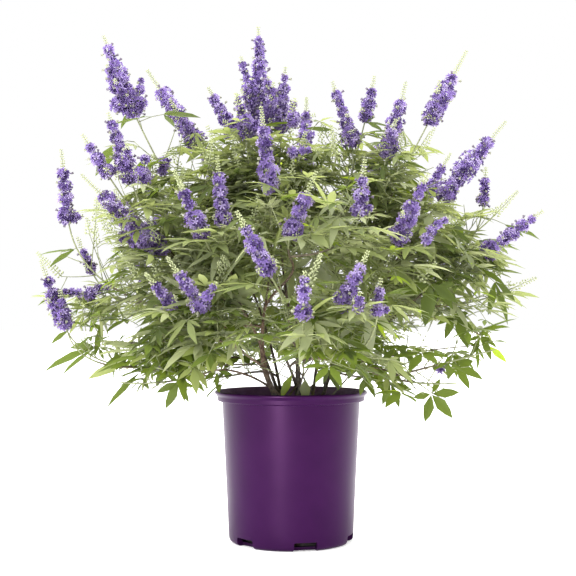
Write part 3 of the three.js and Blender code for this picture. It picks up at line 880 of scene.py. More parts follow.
def inside_crown(point):
    across = point[0] / (CROWN_WIDTH / 2)
    deep = point[1] / (CROWN_DEPTH / 2)
    in_box = all(low / MM < value < high / MM for value, low, high in zip(point[:2], *cad_box))
    return in_box and math.hypot(across, deep) < 1 and point[2] > lowest_leaf(point)


# Leaves crowd inside a dome. Only a few stand outside it, along the bare feet of the spikes.
DOME = np.array([380.0, 350.0, 438.0])


def dome_share(point):
    """How far out a point lies: 0 at the foot of the dome, 1 on its skin."""
    return float(np.linalg.norm((point - FOOT_OF_CROWN) / DOME))


def beyond_dome(point):
    """0 for a leaf inside the dome, 1 for one well outside it."""
    return float(np.clip((dome_share(point) - 0.95) / 0.1, 0, 1))


print("dome in millimetres:", DOME.tolist())


# %% [markdown]
# ## Tubes
# Stems, twigs and leaf stalks are all tapering tubes. One function makes any number of them at
# once: it lays a ring of points round every point of every path, and joins ring to ring.

# %% Tube arrays
def tube_triangles(rings, sides):
    """Vertex numbers of one tube's wall and of its two end caps."""
    faces = []
    for ring in range(rings - 1):
        for side in range(sides):
            a = ring * sides + side
            b = ring * sides + (side + 1) % sides
            faces += [(a, b, b + sides), (a, b + sides, a + sides)]
    last = (rings - 1) * sides
    for side in range(1, sides - 1):
        faces.append((0, side + 1, side))
        faces.append((last, last + side, last + side + 1))
    return np.array(faces)


def make_tubes(paths, radii, sides):
    """paths is tubes by points by three, and radii is tubes by points, or by points by sides."""
    count, rings = paths.shape[:2]
    ways = np.gradient(paths, axis=1)
    ways /= np.linalg.norm(ways, axis=2, keepdims=True)
    overall = paths[:, -1] - paths[:, 0]
    aside = np.where(np.abs(overall[:, 2:3]) > 0.9 * np.linalg.norm(overall, axis=1, keepdims=True),
                     [[1.0, 0.0, 0.0]], [[0.0, 0.0, 1.0]])
    normals = np.cross(ways, aside[:, None, :])
    normals /= np.linalg.norm(normals, axis=2, keepdims=True)
    others = np.cross(ways, normals)
    angles = np.linspace(0, 2 * math.pi, sides, endpoint=False)
    if radii.ndim == 2:
        radii = np.repeat(radii[:, :, None], sides, axis=2)
    offset = normals[:, :, None, :] * np.cos(angles)[None, None, :, None]
    offset = offset + others[:, :, None, :] * np.sin(angles)[None, None, :, None]
    vertices = (paths[:, :, None, :] + offset * radii[:, :, :, None]).reshape(-1, 3)
    faces = tube_triangles(rings, sides)
    starts = np.arange(count)[:, None, None] * rings * sides
    return vertices, (faces[None] + starts).reshape(-1, 3)


def join_arrays(parts):
    """Put several pairs of vertices and triangles into one pair."""
    vertices = []
    triangles = []
    start = 0
    for points, faces in parts:
        vertices.append(points)
        triangles.append(faces + start)
        start += len(points)
    return np.concatenate(vertices), np.concatenate(triangles)


print("triangles of a tube of ten rings of six:", len(tube_triangles(10, 6)))

# %% [markdown]
# ## Bark
# The stems are the old wood of the shrub, grey-brown, with shallow ridges that run up them, a
# swelling at each pair of old leaf scars and a flare where they enter the soil. The relief is in
# the mesh: each ring of points moves in and out by a sum of waves.

# %% Woody limbs
STEM_TIP_RADIUS = 1.6
BOUGH_RADIUS = 1.8
BOUGH_TIP_RADIUS = 1.35
FLARE = 0.45
FLARE_HEIGHT = 22
LIMB_SIDES = 14
RING_SPACING = 3.2
SCAR_SPACING = 34


def limb_radii(name, length, rings):
    share = np.linspace(0, 1, rings)
    if name in STEMS:
        radius = STEMS[name]["radius"]
        plain = radius + (STEM_TIP_RADIUS - radius) * share
        return plain * (1 + FLARE * np.exp(-length * share / FLARE_HEIGHT))
    return BOUGH_RADIUS + (BOUGH_TIP_RADIUS - BOUGH_RADIUS) * share


def bark_relief(key, length, rings, sides):
    """How much each point of each ring stands in or out, as a share of the radius."""
    along = np.linspace(0, length, rings)[:, None]
    angle = np.linspace(0, 2 * math.pi, sides, endpoint=False)[None, :]
    ridges = 0.055 * np.sin(4 * angle + along * 0.06 + key)
    ridges = ridges + 0.04 * np.sin(7 * angle - along * 0.11 + key * 2.3)
    lumps = 0.05 * np.sin(along * 0.31 + 2 * angle + key * 1.7) * np.sin(along * 0.083 + key)
    scars = 0.16 * np.exp(-(((along + key * 9) % SCAR_SPACING - SCAR_SPACING / 2) / 2.6) ** 2)
    return 1 + ridges + lumps + scars


def make_limb(key, name, curve):
    length = length_of(curve)
    rings = max(12, int(length / RING_SPACING))
    relief = bark_relief(key, length, rings, LIMB_SIDES)
    radii = limb_radii(name, length, rings)[:, None] * relief
    return make_tubes(cut_path(curve, 0, 1, rings)[None], radii[None], LIMB_SIDES)


def is_old_wood(name):
    """The thick brown stem and what forks from it; the other stems are thinner and darker."""
    return name == "stem_main" or MASSES.get(name.removeprefix("bough_"), [""])[0] == "stem_main"


woody_pieces = {}
for wood, is_old in (("old_limbs", True), ("young_limbs", False)):
    chosen = [(key, name) for key, name in enumerate(limbs) if is_old_wood(name) == is_old]
    arrays = join_arrays([make_limb(key, name, limbs[name]) for key, name in chosen])
    woody_pieces[wood] = (piece_from_arrays(wood, *arrays), [name for key, name in chosen])
    print(wood, len(chosen), "triangles:", len(arrays[1]))

# %% Bark material
BARK_TONES = {
    "old_limbs": ((0.050, 0.028, 0.018, 1), (0.150, 0.092, 0.058, 1), (0.270, 0.190, 0.130, 1)),
    "young_limbs": ((0.028, 0.019, 0.014, 1), (0.080, 0.054, 0.038, 1), (0.160, 0.115, 0.075, 1)),
}


def make_bark(wood):
    stops = list(zip((0.32, 0.5, 0.72), BARK_TONES[wood]))
    material, shader, grain = make_mottled("bark_of_" + wood, 0.88, 210, stops)
    add_bump(material, shader, grain.outputs["Height"], 0.6, 0.0008)
    return material


def finish_piece(piece, material, slot, *nodes):
    """Smooth the piece, give it its finish and hide the imported nodes it stands for."""
    piece.data.materials.append(material)
    piece.data.shade_smooth()
    if nodes:
        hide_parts(*nodes)
    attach(piece, "root")


for wood, (piece, names) in woody_pieces.items():
    finish_piece(piece, make_bark(wood), "bark", *names)
    print(wood, "stands for", len(names), "nodes")

# %% [markdown]
# ## Shoots and twigs
# From the end of each limb the shoots go on, brown and woody at first and green towards their
# flowers. Pairs of leaves stand along them, each pair crossing the last, and finer twigs with
# leaves of their own grow between the pairs.

# %% Plan of shoots and twigs
TWIG_START = 0.06
TWIG_END = 0.72
TWIG_SPACING = 18
TWIG_TURN = 137
LIMB_TWIG_SPACING = 26
LOWEST_TWIG = 232
TWIG_LENGTH = 88


def side_way(along, turn, tilt):
    """A direction that leaves a shoot at a turn round it, tilted towards its tip."""
    across = np.cross([0.0, 0.0, 1.0], along)
    if np.dot(across, across) < 1e-3:
        across = np.array([1.0, 0.0, 0.0])
    across = turned(unit(across), along, turn)
    return unit(across + along * tilt)


def plot_twigs(shoot, key):
    """Side twigs of a shoot, each a curve that bends up a little towards its tip."""
    twigs = []
    count = int(length_of(shoot["curve"]) / TWIG_SPACING)
    for i in range(count):
        share = TWIG_START + (TWIG_END - TWIG_START) * (i + 0.5) / count
        start = point_at(shoot["curve"], share)
        turn = i * TWIG_TURN + spread(key, i, 30)
        way = side_way(way_at(shoot["curve"], share), turn, 0.75)
        length = TWIG_LENGTH * (1 - 0.45 * share) * (0.75 + 0.5 * chance(key, i + 40))
        end = start + way * length + np.array([0, 0, length * 0.12])
        if not inside_crown(end):
            continue
        middle = start + way * length * 0.5
        twigs.append({"curve": bend_curve([start, middle, end]), "key": key * 1.7 + i})
    return twigs


def plot_limb_twigs(curve, key):
    """Short leafy twigs low on a stem or bough, which reach outwards and a little up."""
    found = []
    count = int(length_of(curve) / LIMB_TWIG_SPACING)
    for i in range(count):
        share = (i + chance(key, i + 3)) / count
        start = point_at(curve, share)
        if start[2] < LOWEST_TWIG:
            continue
        outward = unit(np.array([start[0], start[1], 0.0]) + 1e-6)
        way = side_way(way_at(curve, share), i * TWIG_TURN + spread(key, i, 40), 0.5)
        way = unit(way + outward * 0.5)
        length = TWIG_LENGTH * (0.55 + 0.5 * chance(key, i + 50))
        end = start + way * length
        if inside_crown(end):
            middle = start + way * length * 0.5 + np.array([0, 0, 4.0])
            found.append({"curve": bend_curve([start, middle, end]), "key": key * 2.3 + i})
    return found


# Bare whips cross between the stems at the foot: where each leaves the mix, where it ends, and how
# far it bows to the right.
WHIPS = [
    ((-4, -38), (14, -42, 300), 24),
    ((-22, -36), (44, -40, 292), 10),
    ((-12, -38), (62, -44, 270), 12),
    ((46, -38), (6, -40, 264), 0),
    ((36, -36), (98, -50, 264), 6),
]
# Long thin sprays reach out over the skirt of the crown: the foot, the bend and the tip of each.
SPRAYS = [
    ((79, -20, 261), (190, -60, 286), (288, -40, 291)),
    ((80, -40, 262), (150, -90, 262), (196, -98, 226)),
    ((120, -40, 330), (210, -70, 344), (275, -50, 305)),
    ((-60, -30, 262), (-140, -60, 262), (-217, -60, 252)),
    ((-90, -40, 300), (-200, -50, 296), (-287, -34, 290)),
    ((-100, -40, 272), (-180, -56, 280), (-236, -50, 270)),
    ((60, -50, 262), (100, -90, 262), (136, -94, 244)),
]


def plot_sprays():
    curves = [bend_curve([np.array(point, float) for point in spray]) for spray in SPRAYS]
    return [{"curve": curve, "key": 60.0 + number} for number, curve in enumerate(curves)]


def plot_whips():
    found = []
    for (x, y), end, bow in WHIPS:
        start = np.array([x, y, SOIL_LEVEL - 4.0])
        end = np.array(end, float)
        middle = (start + end) / 2 + np.array([bow, 0, 0])
        found.append({"curve": bend_curve([start, middle, end])})
    return found


whips = plot_whips()
sprays = plot_sprays()
all_shoots = [shoot for group in shoots_of.values() for shoot in group]
shoots = [dict(shoot, key=number + 1.0) for number, shoot in enumerate(all_shoots)]
twigs = [twig for shoot in shoots for twig in plot_twigs(shoot, shoot["key"])]
limb_twigs = []
for number, curve in enumerate(limbs.values()):
    limb_twigs += plot_limb_twigs(curve, number + 80)
print("shoots:", len(shoots), "twigs:", len(twigs), "low twigs:", len(limb_twigs))

# %% Twig meshes
SHOOT_RADIUS = 1.75
SHOOT_TIP_RADIUS = 1.1
WOODY_SHARE = 0.5
SHOOT_MIDDLE_RADIUS = SHOOT_RADIUS + (SHOOT_TIP_RADIUS - SHOOT_RADIUS) * WOODY_SHARE
WHIP_RADII = (1.7, 1.0)
SPRAY_RADII = (1.5, 0.8)
TWIG_RADII = (0.9, 0.5)
SPIKE_AXIS_RADII = (0.85, 0.35)


def make_tapers(growths, radii, points, sides, end=1):
    """A tube along each growth, up to a share of it, that thins from one radius to the other."""
    paths = np.array([cut_path(growth["curve"], 0, end, points) for growth in growths])
    return make_tubes(paths, np.tile(np.linspace(*radii, points), (len(paths), 1)), sides)


def make_green_shoots():
    """The green half of each shoot with its spike's axis, or a short bare tip without one."""
    paths = []
    for shoot in shoots:
        lower = cut_path(shoot["curve"], WOODY_SHARE, 1, 11)
        upper = np.linspace(shoot["throat"], shoot["tip"], 9)[1:]
        if not shoot["spike"]:
            upper = upper + shoot["way"] * 0.5 * np.arange(1, 9)[:, None]
        paths.append(np.concatenate([lower, upper]))
    green = np.linspace(SHOOT_MIDDLE_RADIUS, SHOOT_TIP_RADIUS, 11)
    radii = np.concatenate([green, np.linspace(*SPIKE_AXIS_RADII, 8)])
    return make_tubes(np.array(paths), np.tile(radii, (len(shoots), 1)), 6)


wood_arrays = join_arrays([
    make_tapers(shoots, (SHOOT_RADIUS, SHOOT_MIDDLE_RADIUS), 12, 7, end=WOODY_SHARE),
    make_tapers(whips, WHIP_RADII, 12, 6),
    make_tapers(sprays, SPRAY_RADII, 10, 6),
])
shoot_wood = piece_from_arrays("shoot_wood", *wood_arrays)
print("wood triangles:", len(wood_arrays[1]))

# %% [markdown]
# ## One leaflet
# A leaf of the chaste tree is a hand of five to seven leaflets on one stalk. One leaflet is
# modelled by hand: a small grid whose rows are drawn in to a long pointed outline, with its
# middle row sunk to make the fold along the midrib. Every leaflet on the plant is a copy of it,
# stretched, turned and bent by arrays.

# %% Leaflet model
LEAFLET_ROWS = 5
ROW_PLACES = [0.0, 0.16, 0.42, 0.74, 1.0]
ROW_WIDTHS = [0.07, 0.48, 1.0, 0.66, 0.0]
FOLD = 0.22


def model_leaflet():
    deselect_all()
    bpy.ops.mesh.primitive_grid_add(x_subdivisions=2, y_subdivisions=LEAFLET_ROWS - 1, size=2)
    leaflet = bpy.context.object
    bpy.ops.object.mode_set(mode="EDIT")
    for row in range(LEAFLET_ROWS):
        level = -1 + 2 * row / (LEAFLET_ROWS - 1)
        pick("VERT", lambda vertex: abs(vertex.co.y - level) < 0.01)
        bpy.ops.transform.translate(value=(0, 10 + ROW_PLACES[row] - level, 0))
        bpy.ops.transform.resize(value=(ROW_WIDTHS[row], 1, 1), center_override=(0, 0, 0))
    pick("VERT", lambda vertex: abs(vertex.co.x) < 0.01)
    bpy.ops.transform.translate(value=(0, 0, -FOLD))
    pick("VERT", lambda vertex: vertex.co.y > 10.99)
    bpy.ops.mesh.merge(type="CENTER")
    bpy.ops.mesh.select_all(action="SELECT")
    bpy.ops.transform.translate(value=(0, -10, 0))
    bpy.ops.object.mode_set(mode="OBJECT")
    return leaflet


leaflet_points, leaflet_faces = read_template(model_leaflet())
print("leaflet vertices:", len(leaflet_points), "triangles:", len(leaflet_faces))

# %% [markdown]
# ## Leaves
# Each leaf has a stalk that leaves the shoot outwards and up, and its leaflets spread from the
# stalk's end and hang. The middle leaflet is the longest and the outer pair the shortest. Young
# leaves at the shoot's tip are smaller. Each leaf is one of five greens, dealt out by its place
# and by chance: leaves low down and at the outside of the crown are a fuller green, those deep
# inside it are dealt paler greens as painted light for the shade they stand in, and a few new
# ones are nearly yellow.

# %% Tones of the leaves
# Below the first height leaves turn a fuller green, and below the second they grow broader.
FULL_GREEN_BELOW = 420
UNDERSIDE = 340


def low_share(point):
    """1 for a leaf of the crown's underside, 0 for one well above it."""
    return float(np.clip((UNDERSIDE - point[2]) / 90, 0, 1))


def deal_tone_and_painted_light(key, hub):
    """Low and outer leaves are the greenest; those deep inside the crown get the palest as painted
    light.
    """
    luck = chance(key, 11)
    low = float(np.clip((FULL_GREEN_BELOW - hub[2]) / 150, 0, 1))
    reach = dome_share(hub)
    # inside is painted light: it deals paler greens to leaves deep in the crown, where shade falls.
    inside = float(np.clip((0.9 - reach) / 0.3, 0, 1))
    low = max(low, float(np.clip((reach - 0.9) / 0.15, 0, 0.6)))
    green = 1 - 0.8 * inside * (1 - low)
    if luck < (0.1 + 0.68 * low) * green:
        return "full"
    if luck < (0.46 + 0.5 * low) * green:
        return "deep"
    return "grey" if luck < 0.88 - 0.4 * inside * (1 - low) else "pale"


# A sample of the painted light: how many leaves deep inside the crown are dealt the pale green.
middle_leaves = [deal_tone_and_painted_light(key, FOOT_OF_CROWN + DOME * (0, 0, 0.5)) for key in range(100)]
print("pale leaves in a hundred deep inside the crown:", middle_leaves.count("pale"))

# %% [markdown]
# From the front one sees between the leaves: the feet of the stems over the rim, the flower
# spikes, and bits of open sky at the crown's edge. So a leaf is tested before it grows. It is
# left out where it would touch a spike or stand in the line of sight to one of these.

# %% What the leaves keep clear of
spike_feet = np.array([shoot["throat"] for shoot in shoots if shoot["spike"]])
spike_lines = np.array([shoot["tip"] - shoot["throat"] for shoot in shoots if shoot["spike"]])
spike_spans = (spike_lines**2).sum(axis=1)
SPIKE_ROOM = 17


def touches_spike(point):
    """Whether a point stands among the flowers of a spike."""
    away = point - spike_feet
    share = np.clip((away * spike_lines).sum(axis=1) / spike_spans, 0, 1)
    gap = np.linalg.norm(away - spike_lines * share[:, None], axis=1)
    return bool((gap < SPIKE_ROOM * (share > 0.02)).any())


EYE = np.array(camera.location) / MM


def sight_lines(spots):
    """Unit directions from these spots to the viewer's eye."""
    lines = EYE - spots
    return lines / np.linalg.norm(lines, axis=1)[:, None]


# Some stretches of limb show through from the front: the stems over the rim, and the main fork.
SHOWN = [
    limbs["stem_main"],
    limbs["bough_front"],
    shoots_of["front"][0]["curve"][:30],
    limbs["stem_left"][:16],
    limbs["stem_front"][:24],
    limbs["stem_crown"][:14],
    limbs["stem_right"][:14],
]
shown_points = np.concatenate(SHOWN)
sight = sight_lines(shown_points)
CLEAR_VIEW = 8

# Most leaves keep clear of the line of sight to the spikes on the front of the crown.
front_shoots = [shoot for shoot in shoots if shoot["spike"] and shoot["tip"][1] < 60]
front_axes = [np.array([shoot["throat"], shoot["tip"]]) for shoot in front_shoots]
front_spikes = np.concatenate([cut_path(axis, 0.08, 0.9, 7) for axis in front_axes])
spike_sight = sight_lines(front_spikes)
SPIKE_VIEW = 11


# Open places between the sprays, where sky shows through from the front: across, up, and half
# their width and height, on the upright plane through the pot's axis.
SKY = np.array([
    (-340, 405, 30, 22), (-310, 448, 17, 15), (-285, 470, 20, 11), (-283, 534, 20, 15),
    (-193, 613, 15, 19), (-156, 567, 18, 9), (-219, 598, 12, 10), (-255, 309, 11, 11),
    (-315, 378, 14, 6), (-75, 238, 27, 13), (40, 606, 24, 12), (216, 598, 22, 11),
    (231, 558, 20, 12), (271, 525, 18, 34), (220, 530, 14, 11), (300, 468, 28, 11),
    (320, 381, 20, 9), (214, 303, 33, 16), (267, 297, 18, 6), (-10, 242, 12, 11),
])


def in_sky(point):
    """Whether a point is seen within one of the open places."""
    seen = EYE + (point - EYE) * (-EYE[1] / (point[1] - EYE[1]))
    across = (seen[0] - SKY[:, 0]) / SKY[:, 2]
    up = (seen[2] - SKY[:, 1]) / SKY[:, 3]
    return bool((across**2 + up**2 < 1).any())


def hides(point, spots, ways, clear):
    """Whether a point stands in the line of sight to one of these spots."""
    away = point - spots
    nearer = (away * ways).sum(axis=1)
    gap = np.linalg.norm(away - ways * nearer[:, None], axis=1)
    return bool(((gap < clear) & (nearer > 0)).any())


print("spots kept in view:", len(shown_points) + len(front_spikes), "open places:", len(SKY))

# %% Plan of leaves
LEAFLET_LENGTH = 54
STALK_LENGTH = 28
NODE_SPACING = 20
TWIG_NODE_SPACING = 19.5
SPRAY_NODE_SPACING = 24
# The share left out of the leaves high up or far to a side, of those outside the dome, and of
# those in front of a spike.
THINNED = 0.24
THINNED_ABOVE = 400
THINNED_BEYOND = 130
BARE_FEET = 0.82
SPIKES_CLEARED = 0.75
# The sizes above which a leaf may have seven leaflets, and above which it has five.
SEVEN_FINGERED = 0.95
FIVE_FINGERED = 0.46


def is_thinned(start, key):
    if max(start[2] - THINNED_ABOVE, abs(start[0]) - THINNED_BEYOND) > 0:
        return chance(key, 34) < THINNED
    return False


def leaflet_count(size, key):
    if size > SEVEN_FINGERED and chance(key, 6) > 0.5:
        return 7
    return 5 if size > FIVE_FINGERED else 3


def plot_leaf(start, along, turn, size, key):
    """One leaf's stalk and blade, or nothing where the crown stays open."""
    if is_thinned(start, key) or chance(key, 30) < BARE_FEET * beyond_dome(start):
        return None
    low = max(low_share(start), 0.5 * float(np.clip((start[0] - 80) / 180, 0, 1)))
    way = side_way(along, turn, 0.35 + 0.6 * chance(key, 1))
    stalk = STALK_LENGTH * size * (0.8 + 0.5 * chance(key, 2)) * (1 + 0.5 * low)
    hub = start + way * stalk
    hang = chance(key, 4)
    outward = np.array([start[0], start[1], 0.0]) / math.hypot(start[0], start[1])
    forward = way + outward * 0.25
    forward[2] = way[2] * 0.3 + 0.14 - 0.4 * hang - 0.6 * low * hang - 0.7 * (hang > 0.88)
    forward = unit(forward)
    side = unit(np.cross(forward, [0.0, 0.0, 1.0]))
    side = turned(side, forward, spread(key, 5, 16))
    up = np.cross(side, forward)
    length = LEAFLET_LENGTH * size
    reach = forward * length - up * length * 0.2
    if not inside_crown(hub + reach * 1.03):
        return None
    if touches_spike(hub + reach * 0.5) or touches_spike(hub + reach):
        return None
    spots = [hub, hub + reach * 0.5, hub + reach]
    across = [turned(forward, up, angle) * length * 0.6 for angle in (-72, -36, 36, 72)]
    wide_spots = spots + [hub + arm for arm in across]
    if any(hides(spot, shown_points, sight, CLEAR_VIEW) or in_sky(spot) for spot in wide_spots):
        return None
    veils = any(hides(spot, front_spikes, spike_sight, SPIKE_VIEW) for spot in spots)
    if veils and chance(key, 33) < SPIKES_CLEARED:
        return None
    return {
        "start": start, "hub": hub, "forward": forward, "side": side, "up": up, "length": length,
        "count": leaflet_count(size, key), "key": key, "tone": deal_tone_and_painted_light(key, hub), "low": low,
    }


def leaves_along(curve, key, spacing, start_share, size):
    """Pairs of leaves along a growth; a few growths end in young leaves of the new green."""
    found = []
    fresh = chance(key, 95) > 0.965
    count = max(1, int(length_of(curve) * (1 - start_share) / spacing))
    for i in range(count):
        share = min(start_share + (1 - start_share) * (i + 0.6) / count, 0.97)
        start = point_at(curve, share)
        low = low_share(start)
        grow = size * (1 - 0.35 * share * share) * (0.75 + 0.5 * chance(key, i + 20))
        grow *= 1 + 0.06 * low
        for half in (0, 180):
            if chance(key, i + half + 60) < 0.5 * low:
                continue
            turn = half + i * 90 + spread(key, i * 7 + half, 24)
            leaf_key = key * 13 + i * 5.3 + half
            leaf = plot_leaf(start, way_at(curve, share), turn, grow, leaf_key)
            if leaf:
                if fresh and share > 0.5:
                    leaf["tone"] = "new"
                    leaf["length"] *= 0.7
                found.append(leaf)
    return found


# What carries leaves, how far apart their pairs stand, the share of it where they start, and
# their size.
LEAFY = [
    (shoots, NODE_SPACING, 0.0, 1.24),
    (twigs, TWIG_NODE_SPACING, 0.2, 0.92),
    (limb_twigs, TWIG_NODE_SPACING, 0.3, 0.76),
    (sprays, SPRAY_NODE_SPACING, 0.35, 0.72),
]
leaves = []
for growths, spacing, start_share, size in LEAFY:
    for growth in growths:
        leaves += leaves_along(growth["curve"], growth["key"], spacing, start_share, size)
print("leaves along the shoots and twigs:", len(leaves))

# %% Single leaves at the edge
# Some single leaves stand out at the crown's edge and at the foot of the stems: the end of the
# stalk, the way the middle leaflet points, the way the blade faces, its length, its breadth
# (0 is a slender leaf, 1 a broad one), the number of leaflets and the tone.
EDGE_LEAVES = [
    ((197, -100, 223), (0.64, -0.2, -0.74), (0, -1, 0.3), 46, 1.6, 5, "full"),
    ((-288, -34, 287), (-0.97, 0, -0.16), (0, -0.5, 0.85), 82, -0.1, 3, "full"),
    ((-280, -34, 322), (-0.06, -0.1, -1), (0.5, -0.85, 0), 52, 0.0, 1, "full"),
    ((-238, -50, 269), (-0.9, -0.1, -0.42), (-0.3, -0.7, 0.65), 66, 0.2, 1, "grey"),
    ((-328, -20, 312), (-0.88, -0.1, -0.42), (-0.2, -0.6, 0.75), 36, 1.2, 1, "full"),
    ((288, -40, 290), (0.72, -0.1, -0.62), (0.2, -0.8, 0.5), 34, 1.2, 1, "new"),
    ((232, -80, 334), (0.35, -0.2, -0.9), (0.3, -0.9, 0.3), 46, 0.6, 5, "full"),
    ((275, -50, 304), (0.4, -0.1, -0.9), (0.4, -0.9, 0.2), 36, 0.8, 5, "full"),
    ((140, -96, 238), (0.5, -0.2, -0.8), (0.1, -1, 0.4), 38, 1.0, 5, "full"),
    ((-158, -100, 240), (-0.4, -0.2, -0.8), (0, -1, 0.3), 38, 1.0, 5, "full"),
    ((-219, -60, 251), (-0.66, 0, -0.75), (-0.6, -0.5, 0.6), 70, 0.0, 1, "full"),
    ((-104, -104, 256), (0.1, -0.2, -0.9), (0, -1, 0.2), 26, 1.3, 3, "full"),
    ((236, -70, 262), (0.9, -0.1, -0.3), (0, -0.8, 0.6), 46, 1.0, 5, "full"),
    ((300, -30, 384), (0.45, -0.1, -0.9), (0.6, -0.7, 0.3), 66, 0.0, 3, "full"),
    ((322, 0, 470), (0.95, 0, -0.12), (0, -0.4, 0.9), 50, 0.5, 3, "full"),
    ((-325, 0, 433), (-1, 0, -0.05), (0, -0.3, 0.95), 56, 0.3, 3, "full"),
    ((-255, -20, 592), (-0.72, -0.1, -0.66), (-0.35, -0.85, 0.4), 62, 1.0, 1, "full"),
    ((-190, -20, 634), (0.98, 0, -0.05), (0, -0.5, 0.85), 50, 0.5, 3, "full"),
    # The next two leaves hang low in the crown's shade and take the lighter new and grey tones:
    # painted light.
    ((2, -70, 250), (-0.4, -0.2, -0.9), (-0.4, -0.8, 0.5), 38, 1.8, 1, "new"),
    ((20, -74, 244), (0.05, -0.2, -1), (-0.2, -0.8, 0.6), 30, 2.2, 1, "grey"),
    ((54, -74, 262), (0.5, -0.3, -0.8), (0, -1, 0.4), 34, 1.0, 5, "full"),
    ((104, -84, 246), (0.5, -0.3, -0.8), (0.2, -1, 0.3), 32, 1.0, 5, "full"),
    ((190, -150, 377), (-0.2, -0.2, -1), (0.1, -1, 0.2), 56, 1.2, 3, "full"),
    ((200, -140, 372), (0.7, -0.2, -0.7), (0.2, -0.9, 0.5), 36, 1.2, 3, "full"),
    ((-173, -70, 532), (-1, 0, -0.16), (0, -0.6, 0.8), 80, -0.3, 3, "full"),
    ((-112, -110, 516), (-1, 0, -0.2), (0, -0.6, 0.8), 46, 0.2, 5, "full"),
    ((277, -30, 404), (1, 0, -0.06), (0, -0.6, 0.8), 58, -0.2, 3, "full"),
    ((284, -30, 423), (0.85, 0, -0.5), (0.2, -0.7, 0.6), 34, 0.6, 3, "full"),
    ((233, -60, 460), (0.8, -0.1, -0.5), (0.2, -0.7, 0.6), 34, 0.8, 3, "full"),
    ((114, 0, 625), (1, 0, 0.1), (0, -0.6, 0.8), 36, 0.5, 3, "full"),
    ((67, 0, 612), (-1, 0, 0.3), (0, -0.6, 0.8), 42, 0.6, 1, "full"),
    ((-237, -30, 638), (-0.6, 0, -0.8), (-0.4, -0.9, 0.2), 28, 1.5, 1, "full"),
]


def hang_edge_leaves():
    """Give each of the single leaves a stalk from the nearest stem or twig."""
    curves = [twig["curve"] for twig in twigs + limb_twigs + sprays + shoots] + list(limbs.values())
    carriers = np.concatenate(curves)
    found = []
    for number, (hub, forward, facing, length, breadth, count, tone) in enumerate(EDGE_LEAVES):
        hub, forward = np.array(hub, float), unit(np.array(forward, float))
        start = carriers[np.argmin(np.linalg.norm(carriers - hub, axis=1))]
        side = unit(np.cross(forward, np.array(facing, float)))
        found.append({
            "start": start, "hub": hub, "forward": forward, "side": side,
            "up": np.cross(side, forward), "length": length, "count": count,
            "key": 700.0 + number, "tone": tone, "low": breadth,
        })
    return found


leaves += hang_edge_leaves()
print("leaves in all:", len(leaves))

# %% Leaf arrays
# How wide a slender and a broad leaflet are for their length, and the fans that leaves of one to
# seven leaflets open to: each leaflet's angle from the middle one, and its share of the length.
LEAFLET_WIDTH = 0.225
LOW_WIDTH = 0.34
FAN = {
    1: [(0, 1.0)],
    3: [(-44, 0.8), (0, 1.0), (44, 0.8)],
    5: [(-74, 0.52), (-36, 0.84), (0, 1.0), (36, 0.84), (74, 0.52)],
    7: [(-100, 0.36), (-64, 0.66), (-31, 0.88), (0, 1.0), (31, 0.88), (64, 0.66), (100, 0.36)],
}
STALK_RADII = [0.8, 0.65, 0.5]


def spread_leaflets(chosen):
    """Rows of base point, side, forward, up, length, half width and droop for each leaflet."""
    rows = []
    for leaf in chosen:
        for number, (angle, share) in enumerate(FAN[leaf["count"]]):
            key = leaf["key"] + number * 0.71
            angle = angle * (1 + 0.35 * leaf["low"]) + spread(key, 7, 7)
            side = turned(leaf["side"], leaf["up"], -angle)
            forward = turned(leaf["forward"], leaf["up"], -angle)
            sag = 18 * chance(key, 8) - 5
            forward = turned(forward, side, -sag)
            side = turned(side, forward, spread(key, 9, 16))
            up = np.cross(side, forward)
            length = leaf["length"] * share * (0.9 + 0.2 * chance(key, 10))
            width = LEAFLET_WIDTH + (LOW_WIDTH - LEAFLET_WIDTH) * leaf["low"]
            half = length * width * (0.85 + 0.3 * chance(key, 12)) / 2
            droop = 0.05 + 0.18 * chance(key, 13)
            base = leaf["hub"] + forward * 2.0
            rows.append(np.concatenate([base, side, forward, up, [length, half, droop]]))
    return np.array(rows)


def make_leaflets(rows):
    """Copies of the leaflet, each stretched, turned, and bent down towards its tip."""
    base, side, forward, up = (rows[:, i:i + 3][:, None, :] for i in (0, 3, 6, 9))
    length, half, droop = (rows[:, i][:, None, None] for i in (12, 13, 14))
    x = leaflet_points[None, :, 0:1]
    y = leaflet_points[None, :, 1:2]
    z = leaflet_points[None, :, 2:3]
    height = z * half - droop * y**2 * length
    points = base + side * x * half + forward * y * length + up * height
    starts = np.arange(len(rows))[:, None, None] * len(leaflet_points)
    return points.reshape(-1, 3), (leaflet_faces[None] + starts).reshape(-1, 3)


def make_stalks(chosen):
    """A thin stalk from each leaf's shoot to its leaflets, bent up a little."""
    paths = []
    for leaf in chosen:
        bend = (leaf["start"] + leaf["hub"]) / 2 + np.array([0, 0, 1.5])
        paths.append([leaf["start"], bend, leaf["hub"] + leaf["forward"] * 2.5])
    return make_tubes(np.array(paths), np.tile(STALK_RADII, (len(chosen), 1)), 3)


green_arrays = join_arrays([
    make_green_shoots(),
    make_tapers(twigs + limb_twigs, TWIG_RADII, 6, 5),
    make_stalks(leaves),
])
green_twigs = piece_from_arrays("green_twigs", *green_arrays)
print("twig and stalk triangles:", len(green_arrays[1]))

# %% [markdown]
# ## Leaf finish
# The upper side of a leaf is a soft green with a bloom of fine hairs, and its underside is paler
# and greyer. Some daylight comes through the blade. So each green is a Principled shader whose
# colour changes with the side that is seen, mixed with a little Translucent light.

